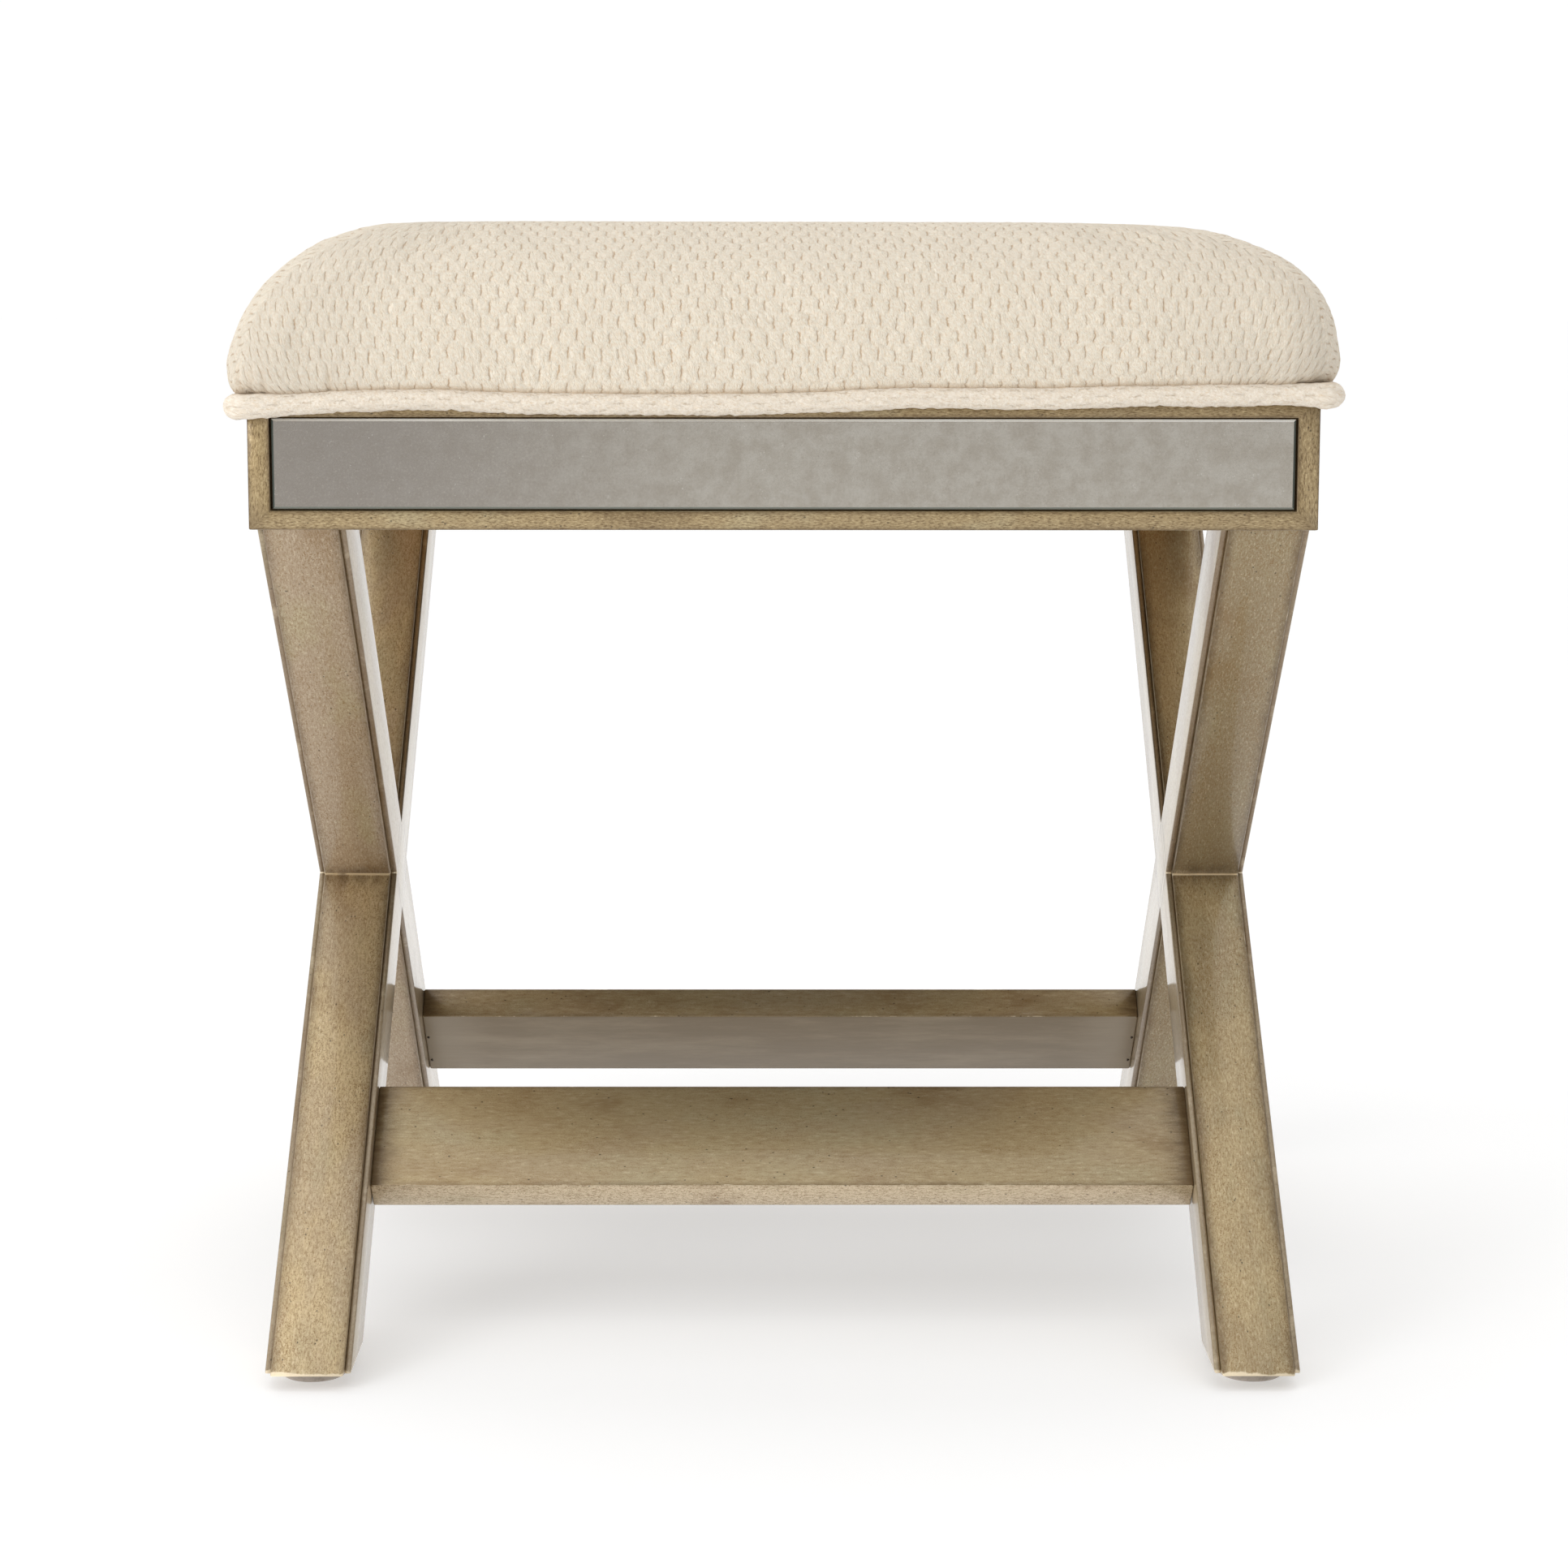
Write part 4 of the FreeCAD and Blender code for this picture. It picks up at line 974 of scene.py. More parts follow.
@dataclass
class Apron:
    """Four rails mitred at the corners, each with a mirror let into it."""

    half: float = 228.6 * MM
    bottom: float = 380 * MM
    height: float = 56 * MM
    thick: float = 19 * MM
    stile: float = 9.3 * MM
    margin: float = 8 * MM
    recess: float = 4.2 * MM
    glass: float = 3 * MM
    gap: float = 0.8 * MM
    bevel: float = 1.0 * MM
    ease: float = 0.5 * MM

    def frame_at(self, reach: float, depth: float, margin: float) -> list[Triple]:
        """Four corners of an upright oblong.

        Args:
            reach: Half its width.
            depth: How far it lies behind the apron's face.
            margin: How far it stays inside the apron's height.

        Returns:
            The corners, anticlockwise seen from the front.
        """
        y, low, high = depth - self.half, self.bottom + margin, self.bottom + self.height - margin
        return [(-reach, y, low), (reach, y, low), (reach, y, high), (-reach, y, high)]

    def rail(self, side: Side) -> Piece:
        """Make one rail with its recess.

        Args:
            side: The side of the stool that it is on.

        Returns:
            The rail, in place but without a finish.
        """
        rim = self.half - self.stile
        body = stack(self.frame_at(self.half - self.thick, self.thick, 0.0),
                     self.frame_at(self.half, 0.0, 0.0),
                     self.frame_at(rim, 0.0, self.margin),
                     self.frame_at(rim, self.recess, self.margin))
        piece = ease_edges(new_piece(f"{side.name.lower()}_rail", body), self.ease)
        lay_grain(piece, lambda centre, normal: self.grain_at(side, centre, normal))
        return turned(piece, side.value)

    def grain_at(self, side: Side, centre: Vector, normal: Vector) -> GrainLine:
        """Choose the grain line for a face of a rail, before the rail is turned.

        Args:
            side: The side of the stool that the rail is on.
            centre: The centre of the face.
            normal: The normal of the face.

        Returns:
            The line of the upright stile or of the level strip that the face is on.
        """
        seed, top = side.value * 0.01, self.bottom + self.height
        if abs(centre.x) > self.half - self.stile and normal.y < -FACING:
            start = Vector((math.copysign(self.half - self.stile / 2, centre.x), -self.half, self.bottom))
            return GrainLine(start, UP, RIGHT, self.stile / 2, self.thick, self.height, NO_JOINT,
                             seed + math.copysign(2, centre.x))
        below = centre.z < self.bottom + self.height / 2
        level = self.bottom + self.margin / 2 if below else top - self.margin / 2
        return GrainLine(Vector((-self.half, -self.half, level)), RIGHT, UP, self.margin / 2, self.thick / 2,
                         2 * self.half, NO_JOINT, seed + level)

    def mirror(self, side: Side) -> Piece:
        """Make one bevelled mirror strip.

        Args:
            side: The side of the stool that it is on.

        Returns:
            The mirror, in place but without a finish.
        """
        reach, margin = self.half - self.stile - self.gap, self.margin + self.gap
        face = self.recess - self.glass
        body = stack(self.frame_at(reach, self.recess, margin),
                     self.frame_at(reach, face + self.bevel, margin),
                     self.frame_at(reach - self.bevel, face, margin + self.bevel))
        return turned(new_piece(f"{side.name.lower()}_mirror_glass", body), side.value)

    def build(self, finishes: Finishes) -> None:
        """Make and dress the four rails and mirrors.

        Args:
            finishes: The stool's materials.
        """
        for side in Side:
            name = side.name.lower()
            settle(self.rail(side), finishes.apron_leaf, "gilded_wood", f"apron_{name}_rail")
            glass = settle(self.mirror(side), finishes.mirror, "antiqued_mirror", f"{name}_mirror")
            dress_faces(glass, finishes.glass_edge, lambda face: face.normal.y > -0.95)


@dataclass
class LegSlope:
    """The sizes that the end frames and the stretchers share."""

    foot_level: float = 7 * MM
    height: float = 373 * MM
    near: float = 188.1 * MM
    splay: float = 3 * MM
    top_centre: float = 198 * MM
    foot_centre: float = 206 * MM

    @property
    def run(self) -> float:
        """Level distance that a leg covers."""
        return self.top_centre + self.foot_centre

    @property
    def slant(self) -> float:
        """Length of a leg's centre line, seen from the side."""
        return math.hypot(self.run, self.height)

    def out(self, base: float, level: float) -> float:
        """X of a splayed side plane at a level."""
        return base + self.splay * (self.foot_level + self.height - level) / self.height


@dataclass
class EndFrame(LegSlope):
    """One crossed pair of legs with a thin crossed panel on each side; drawn for the right side."""

    turn: float = 0
    name: str = "right"
    far: float = 226.2 * MM
    panel: float = 2.9 * MM
    half_cut: float = 27.6 * MM
    setback: float = 4.4 * MM
    lean: float = 1.5 * MM
    ease: float = 0.6 * MM

    @property
    def cross_level(self) -> float:
        """Level where the centre lines of the legs cross."""
        return self.foot_level + self.height * self.foot_centre / self.run

    def slope_line(self, rises: int, setback: float, seed: float) -> GrainLine:
        """The grain line of a leg.

        Args:
            rises: +1 for the leg whose foot is at the front, -1 for the other.
            setback: How far the piece is set back from the leg's faces.
            seed: Shifts the pattern of the finish.

        Returns:
            The line from the foot up.
        """
        middle = (self.near + self.far) / 2
        foot = Vector((self.out(middle, self.foot_level), -self.foot_centre * rises, self.foot_level))
        top = Vector((middle, self.top_centre * rises, self.foot_level + self.height))
        along = (top - foot).normalized()
        across = (RIGHT - along * along.x).normalized()
        length = (top - foot).length
        shrink = 1 - setback / self.half_cut
        half_depth = self.half_cut * self.height / self.slant * shrink
        return GrainLine(foot, along, across, (self.far - self.near) / 2 - self.panel, half_depth, length,
                         length * self.foot_centre / self.run, seed, self.lean, 1 / shrink)

    def leg(self, foot: str, rises: int) -> Piece:
        """Make one leg: the one that rises to the back goes through, the other is in two arms.

        Args:
            foot: "front" or "back", where the foot stands.
            rises: +1 when drawn with its foot at the front.

        Returns:
            The leg, in place but without a finish.
        """
        low, high = self.foot_level, self.foot_level + self.height
        half, middle = self.half_cut, self.cross_level
        near, far = self.foot_centre, self.top_centre
        slack = half * self.height / self.run
        if rises > 0:
            outlines = [[(-near - half, low), (-near + half, low), (far + half, high), (far - half, high)]]
        else:
            outlines = [[(near - half, low), (near + half, low), (half, middle), (0.0, middle - slack)],
                        [(-far + half, high), (-far - half, high), (-half, middle), (0.0, middle + slack)]]
        bodies = [stack(*self.side_rings(outline, self.near + self.panel, self.far - self.panel))
                  for outline in outlines]
        piece = ease_edges(new_piece(f"{self.name}_{foot}_leg_core", *bodies), self.ease)
        seed = (1.7 if rises > 0 else 3.1) + self.turn * 0.01
        line = self.slope_line(rises, 0.0, seed)
        lay_grain(piece, lambda centre, normal: line)
        return turned(piece, self.turn)

    def side_rings(self, outline: Sequence[tuple[float, float]], *bases: float) -> list[list[Triple]]:
        """Lay a side outline of Y and Z corners on splayed planes, named by their X at the top."""
        return [[(self.out(base, level), y, level) for y, level in outline] for base in bases]

    def crossed_panel(self, layer: Layer) -> Piece:
        """Make one crossed panel as a single sheet.

        Args:
            layer: The face of the frame that it is on.

        Returns:
            The panel, in place but without a finish.
        """
        low, high = self.foot_level, self.foot_level + self.height
        half, middle = self.half_cut - self.setback, self.cross_level
        slack = half * self.height / self.run
        foot, top = self.foot_centre, self.top_centre
        outline = [(-foot - half, low), (-foot + half, low), (0.0, middle - slack), (foot - half, low),
                   (foot + half, low), (half, middle), (top + half, high), (top - half, high),
                   (0.0, middle + slack), (half - top, high), (-half - top, high), (-half, middle)]
        near = self.near if layer is Layer.INNER else self.far - self.panel
        inner, outer = self.side_rings(outline, near, near + self.panel)
        arms = [(0, 1, 2, 11), (2, 3, 4, 5), (5, 6, 7, 8), (8, 9, 10, 11), (2, 5, 8, 11)]
        faces = [tuple(reversed(arm)) for arm in arms]
        faces += [tuple(corner + len(outline) for corner in arm) for arm in arms]
        body = (inner + outer, faces + walls(2, len(outline)))
        piece = ease_edges(new_piece(f"{self.name}_{layer.value}_cross_panel", body), self.ease)
        seed = (5.3 if layer is Layer.INNER else 7.9) + self.turn * 0.01
        lines = {rises: self.slope_line(rises, self.setback, seed + rises) for rises in (1, -1)}
        lay_grain(piece, lambda centre, normal: lines[1 if centre.y * (centre.z - middle) >= 0 else -1])
        return turned(piece, self.turn)

    def build(self, finishes: Finishes) -> None:
        """Make and dress the legs and panels of the frame.

        Args:
            finishes: The stool's materials.
        """
        feet = ("back", "front") if self.turn else ("front", "back")
        # The right frame, turn 0, gets the darker copy of the leaf: painted shade.
        leaf = finishes.leaf if self.turn else finishes.shaded_leaf
        for foot, rises in zip(feet, (1, -1)):
            settle(self.leg(foot, rises), leaf, "gilded_wood", f"{self.name}_{foot}_leg")
        for layer in Layer:
            settle(self.crossed_panel(layer), finishes.panel_leaf, "gilded_wood",
                   f"{self.name}_{layer.value}_panel")


@dataclass
class Stretchers(LegSlope):
    """Two boards between the end frames, each lying on the slope of its legs."""

    width: float = 55.5 * MM
    thick: float = 17.5 * MM
    lift: float = 77 * MM
    back_lift: float = 3.5 * MM
    ease: float = 0.9 * MM
    seed: float = 4.0

    def board(self, name: str, rank: int) -> Piece:
        """Make one board in its own space and put it in place.

        Args:
            name: "front" or "back".
            rank: -1 for the front board and +1 for the back one.

        Returns:
            The board, in place but without a finish.
        """
        half, deep = self.width / 2, self.thick / 2
        centre_z = self.foot_level + self.lift
        drop = half * self.height / self.slant
        lower, upper = self.out(self.near, centre_z - drop), self.out(self.near, centre_z + drop)
        outline = [(-lower, -half), (lower, -half), (upper, half), (-upper, half)]
        body = stack(*[[(x, y, depth) for x, y in outline] for depth in (-deep, deep)])
        piece = ease_edges(new_piece(f"{name}_stretcher_board", body), self.ease)
        line = GrainLine(Vector((-lower, 0, 0)), RIGHT, BACK, half, deep, 2 * lower, NO_JOINT,
                         self.seed + rank)
        lay_grain(piece, lambda centre, normal: line)
        centre_y = (self.foot_centre - self.run * self.lift / self.height) * rank
        tilt = math.atan2(self.height, self.run)
        if rank > 0:
            centre_y += self.back_lift * self.height / self.slant
            centre_z += self.back_lift * self.run / self.slant
            tilt = math.pi - tilt
        piece.matrix_world = Matrix.Translation((0, centre_y, centre_z)) @ Matrix.Rotation(tilt, 4, "X")
        return piece

    def build(self, finishes: Finishes) -> None:
        """Make and dress both boards.

        Args:
            finishes: The stool's materials.
        """
        for name, rank in (("front", -1), ("back", 1)):
            board = settle(self.board(name, rank), finishes.shaded_board_leaf, "gilded_wood", f"{name}_stretcher")
            # The board face that looks down under the seat gets the dark lacquer: painted shade.
            dress_faces(board, finishes.plain, lambda face: face.normal.z * rank > FACING)
            # The lower long edge of each board gets the pale leaf: a painted reflection of the bright floor.
            dress_faces(board, finishes.floor_reflection_leaf, lambda face: face.normal.y < -FACING)


@dataclass
class SeamLine:
    """How the seam under the cushion wanders up and down around the stool."""

    mean: float = 440.2 * MM
    stations: tuple[float, ...] = (-232, -205, -187, -150, -116, -60, -9, 24, 51, 112, 141, 174, 224)
    levels: tuple[float, ...] = (437.6, 438.2, 439.6, 440.6, 438.9, 438.3, 438.6, 439.7, 441.2, 440.8,
                                 441.8, 442.2, 442.8)
    waves: tuple[Triple, ...] = ((1.1, 3, 0.6), (0.8, 7, 2.1), (0.5, 13, 0.0))
    spread: float = 6 * MM
    front_from: float = 150 * MM
    front_over: float = 60 * MM

    def rise(self, x: np.ndarray, y: np.ndarray) -> np.ndarray:
        """Height of the seam over its mean level: as measured in front, made up elsewhere.

        Args:
            x: Places across the stool, in metres.
            y: Places along the stool, in metres.

        Returns:
            The rise at each place.
        """
        knots, levels = np.array(self.stations) * MM, np.array(self.levels) * MM
        near = [np.interp(x + aside, knots, levels) for aside in (0.0, -self.spread, self.spread)]
        front = sum(near) / len(near) - self.mean
        angle = np.arctan2(y, x)
        rest = sum(height * MM * np.sin(count * angle + start) for height, count, start in self.waves)
        share = eased((-y - self.front_from) / self.front_over)
        return share * front + (1 - share) * rest


@dataclass(frozen=True)
class RollEdge:
    """The rolled edge of the cushion: its level width, its fullness and where it turns upright."""

    roll: float
    fullness: float
    shoulder: float


@dataclass
class Cushion:
    """The stuffed seat: one cloth pulled over foam, with rows of raised tufts."""

    seam: SeamLine
    left_edge: RollEdge
    right_edge: RollEdge
    reach: float = 238.6 * MM
    crown: float = 510.8 * MM
    tuck: float = 3.2 * MM
    turn_under: float = 9 * MM
    side_corner: float = 27 * MM
    doming: float = 1.5 * MM
    tuft: float = 7.3 * MM
    tufts_across: int = 80
    columns: int = 4
    rows: int = 3
    tuft_height: float = 0.7 * MM
    crease_depth: float = 1.1 * MM
    straight_to: float = 186 * MM
    gather_soft: float = 0.4
    swell_limit: float = 2.5 * MM
    seam_shade_top: float = 2.2 * MM
    seam_shade_width: float = 2.6 * MM
    pleats: tuple[float, ...] = (-226.5, -220.5, -192, 203, 219, 226)
    hem_reach: float = 20 * MM
    pleat_top: float = 11 * MM
    pleat_fade: float = 10 * MM
    pleat_width: float = 1.3 * MM
    pleat_sway: float = 2.3 * MM
    frames: int = 20

    def profile(self, edge: RollEdge) -> tuple[np.ndarray, np.ndarray, np.ndarray]:
        """The section of the cushion from its crown to its hem.

        Args:
            edge: The shape of the rolled edge.

        Returns:
            The length along the cloth, the reach from the centre and the level.
        """
        hem = self.seam.mean - 1 * MM
        flat = self.reach - edge.roll
        steps = np.linspace(0, 1, 60)
        bend = np.linspace(0, math.pi / 2, 120)[1:]
        fall = np.linspace(0, 1, 40)[1:]
        rise = self.crown - self.doming - edge.shoulder
        out = np.concatenate([steps * flat, flat + edge.roll * np.sin(bend) ** (2 / edge.fullness),
                              self.reach - self.tuck * fall ** 2.5,
                              self.reach - self.tuck - self.turn_under * fall])
        level = np.concatenate([self.crown - self.doming * steps ** 2,
                                edge.shoulder + rise * np.cos(bend) ** (2 / edge.fullness),
                                edge.shoulder - (edge.shoulder - hem) * fall,
                                hem - 0.6 * MM * np.sin(fall * math.pi / 2)])
        length = np.concatenate([[0], np.cumsum(np.hypot(np.diff(out), np.diff(level)))])
        return length, out, level

    def corner_radius(self, out: np.ndarray) -> np.ndarray:
        """Corner radius of the ring at each reach from the centre.

        Args:
            out: The reaches.

        Returns:
            The radius at each.
        """
        flat = self.reach - self.left_edge.roll
        inner = self.side_corner + self.left_edge.roll / 2
        grow = eased((out - 0.45 * flat) / (0.55 * flat))
        return np.where(out < flat, inner * grow, self.side_corner + (self.reach - out) / 2)

    def gathered(self, along: np.ndarray, ring: np.ndarray, half_arc: np.ndarray) -> np.ndarray:
        """Ease the cloth into the corners: straight in the middle, gathered near the corner.

        Args:
            along: Way along the side on the flat cloth, from its middle.
            ring: Half the side of the flat cloth's square there.
            half_arc: Half the length that the side has on the cushion.

        Returns:
            The way along the side on the cushion.
        """
        outer = np.minimum(self.straight_to, 1.6 * ring - 0.8 * self.straight_to)
        start = np.maximum(np.minimum(self.straight_to, 0.5 * ring), 0.8 * outer)
        start = np.minimum(start, 0.94 * half_arc)
        room = np.maximum(ring - start, TINY)
        share = np.clip((along - start) / room, 0, 1)
        soft = self.gather_soft
        final = ((half_arc - start) / room - soft / 2) / (1 - soft / 2)
        rising = np.minimum(share, soft)
        curve = rising + (final - 1) * rising ** 2 / (2 * soft) + final * np.maximum(share - soft, 0)
        return np.where(along < start, along, start + room * curve)

    def place(self, u: np.ndarray, v: np.ndarray) -> np.ndarray:
        """Lay points of the flat cloth over the cushion.

        Args:
            u: Places across the cloth, in metres.
            v: Places along the cloth, in metres.

        Returns:
            Their places in the stool's space.
        """
        total = self.tufts_across * self.tuft / 2
        ring = np.maximum(np.abs(u), np.abs(v))
        side_on = np.abs(u) > np.abs(v)
        along = np.where(side_on, v, u)
        share = eased(0.5 + 0.5 * u / total)
        out, level = np.zeros_like(u), np.zeros_like(u)
        for edge, weight in ((self.left_edge, 1 - share), (self.right_edge, share)):
            length, out_line, level_line = self.profile(edge)
            travelled = ring * length[-1] / total
            out += weight * np.interp(travelled, length, out_line)
            level += weight * np.interp(travelled, length, level_line)
        radius = self.corner_radius(out)
        straight = out - radius
        arc = self.gathered(np.abs(along), ring, straight + radius * math.pi / 4)
        angle = np.maximum(arc - straight, 0) / np.maximum(radius, TINY)
        side = np.where(arc < straight, arc, straight + radius * np.sin(angle)) * np.sign(along)
        front = np.where(arc < straight, out, straight + radius * np.cos(angle))
        front = front * np.sign(np.where(side_on, u, v))
        x, y = np.where(side_on, front, side), np.where(side_on, side, front)
        near_hem = np.clip((self.seam.mean + self.hem_reach - level) / self.hem_reach, 0, 1)
        return np.stack([x, y, level + near_hem ** 1.5 * self.seam.rise(x, y)], axis=-1)

    def woven(self, u: np.ndarray, v: np.ndarray) -> tuple[np.ndarray, np.ndarray]:
        """Let the rows and columns of tufts wander a little, as they do in real cloth.

        Args:
            u: Places across the cloth, in tufts.
            v: Places along the cloth, in tufts.

        Returns:
            The places in the wandering pattern.
        """
        aside = 0.08 * np.sin(0.5 * v + 2.1 * np.sin(0.37 * u)) + 0.04 * np.sin(1.1 * v + 0.53 * u + 1.3)
        along = 0.12 * np.sin(0.8 * u + 1.9 * np.sin(0.31 * v)) + 0.08 * np.sin(1.9 * u - 0.43 * v)
        return u + aside, v + along

    def relief(self, u: np.ndarray, v: np.ndarray) -> np.ndarray:
        """Height of the tufts over the ground cloth, from 0 to 1.

        Args:
            u: Places across the woven cloth, in tufts.
            v: Places along the woven cloth, in tufts.

        Returns:
            The height at each place.
        """
        row = np.floor(v)
        drop = np.abs(v - row - 0.5)
        chance = np.random.default_rng(11).uniform(0.8, 1.0, (400, 400))
        best = np.zeros_like(u)
        for shift, tall in ((0.0, drop), (0.5, 1 - drop)):
            column = u + 0.5 * np.mod(row, 2) + shift
            side = np.abs(column - np.floor(column) - 0.5)
            back = 1 - (side / 0.54) ** 3.0 - (tall / 0.76) ** 3.0
            pick = chance[np.floor(column).astype(int) % 400, row.astype(int) % 400]
            best = np.maximum(best, np.maximum(back, 0) ** 0.6 * pick)
        return best

    def swollen(self) -> np.ndarray:
        """Blow the cloth up over the foam with a cloth simulation on a coarse grid.

        Returns:
            How far each point of the coarse grid moves.
        """
        line = np.arange(-self.tufts_across // 2, self.tufts_across // 2 + 1) * self.tuft
        u, v = np.meshgrid(line, line)
        ground = self.place(u, v)
        piece = new_piece("cover_blank", (ground.reshape(-1, 3).tolist(), grid(*u.shape)))
        held = piece.vertex_groups.new(name="hem")
        outer = np.maximum(np.abs(u), np.abs(v)) > line[-1] - 2.5 * self.tuft
        held.add(np.flatnonzero(outer).tolist(), 1.0, "REPLACE")
        settings = piece.modifiers.new("cloth", "CLOTH").settings
        stuff = {"quality": 6, "mass": 0.4, "tension_stiffness": 18, "compression_stiffness": 18,
                 "shear_stiffness": 8, "bending_stiffness": 1.2, "air_damping": 6,
                 "vertex_group_mass": "hem", "use_pressure": True, "uniform_pressure_force": 3.0}
        for name, value in stuff.items():
            setattr(settings, name, value)
        settings.effector_weights.gravity = 0.0
        scene = bpy.context.scene
        for moment in range(self.frames):
            scene.frame_set(moment + 1)
        moved = np.empty(ground.size, np.float32)
        piece.evaluated_get(bpy.context.evaluated_depsgraph_get()).data.vertices.foreach_get("co", moved)
        scene.frame_set(1)
        bpy.data.objects.remove(piece, do_unlink=True)
        shift = moved.reshape(ground.shape).astype(float) - ground
        far = np.linalg.norm(shift, axis=-1, keepdims=True)
        log.info("cover: swelled by up to %.1f mm, %.1f mm on average", far.max() / MM, far.mean() / MM)
        return shift * np.tanh(far / self.swell_limit) * self.swell_limit / np.maximum(far, TINY)

    def between(self, fine: np.ndarray, count: int) -> np.ndarray:
        """Weights that carry values from coarse points to fine ones along a smooth curve.

        Args:
            fine: Places of the fine points, counted in coarse points.
            count: Number of coarse points.

        Returns:
            A matrix with one row for each fine point.
        """
        first = np.clip(np.floor(fine).astype(int), 0, count - 2)
        t = fine - first
        curve = (-0.5 * t + t ** 2 - 0.5 * t ** 3, 1 - 2.5 * t ** 2 + 1.5 * t ** 3,
                 0.5 * t + 2 * t ** 2 - 1.5 * t ** 3, -0.5 * t ** 2 + 0.5 * t ** 3)
        weights = np.zeros((len(fine), count))
        for offset, weight in zip((-1, 0, 1, 2), curve):
            np.add.at(weights, (np.arange(len(fine)), np.clip(first + offset, 0, count - 1)), weight)
        return weights

    def cover(self) -> Piece:
        """Make the cloth as one fine grid.

        Returns:
            The cover without a finish.
        """
        span = self.tufts_across / 2
        u_line = np.linspace(-span, span, self.tufts_across * self.columns + 1)
        v_line = np.linspace(-span, span, self.tufts_across * self.rows + 1)
        u, v = np.meshgrid(u_line, v_line)
        ground = self.place(u * self.tuft, v * self.tuft)
        across, along = [self.between(line + span, self.tufts_across + 1) for line in (u_line, v_line)]
        swell = self.swollen()
        for axis in range(3):
            ground[..., axis] += along @ swell[..., axis] @ across.T
        normal = np.cross(np.gradient(ground, axis=1), np.gradient(ground, axis=0))
        normal /= np.maximum(np.linalg.norm(normal, axis=-1, keepdims=True), TINY * MM)
        crease = self.creases(ground)
        u, v = self.woven(u, v)
        height = (self.relief(u, v) - 1) * self.tuft_height * (1 - 0.4 * crease) - crease * self.crease_depth
        ground += normal * height[..., None]
        # Painted shade: a band of cloth just above the seam, darkened by the finish.
        top = self.seam.mean + self.seam_shade_top + self.seam.rise(ground[..., 0], ground[..., 1])
        seam = np.clip((top - ground[..., 2]) / self.seam_shade_width, 0, 1)
        piece = new_piece("seat_cushion", (ground.reshape(-1, 3).tolist(), grid(*u.shape)))
        # The third value of the weave is the share of painted shade at the seam and in the pleats.
        return lay_weave(piece, "POINT", np.stack([u, v, np.maximum(seam ** 1.5, 0.5 * crease)], axis=-1))

    def creases(self, ground: np.ndarray) -> np.ndarray:
        """Depth of the small upright pleats above the hem near the corners, from 0 to 1.

        Args:
            ground: Places on the cushion.

        Returns:
            The depth at each place.
        """
        x, y, level = np.moveaxis(ground, -1, 0)
        depth = np.zeros_like(x)
        low = np.clip((self.seam.mean + self.pleat_top - level) / self.pleat_fade, 0, 1)
        for turn in range(4):
            cos, sin = math.cos(turn * math.pi / 2), math.sin(turn * math.pi / 2)
            side, out = x * cos + y * sin, x * sin - y * cos
            for number, place in enumerate(self.pleats):
                shift = self.pleat_sway * math.sin(5.1 * number + 2.7 * turn) if turn else 0.0
                notch = np.exp(-((side - place * MM - shift) / self.pleat_width) ** 2)
                depth = np.maximum(depth, notch * (out > np.abs(side)) * low)
        return depth

    def build(self, finishes: Finishes) -> None:
        """Make and dress the cushion."""
        piece = settle(self.cover(), finishes.chenille, "cover_cloth", "seat_cover", "seat_foam")


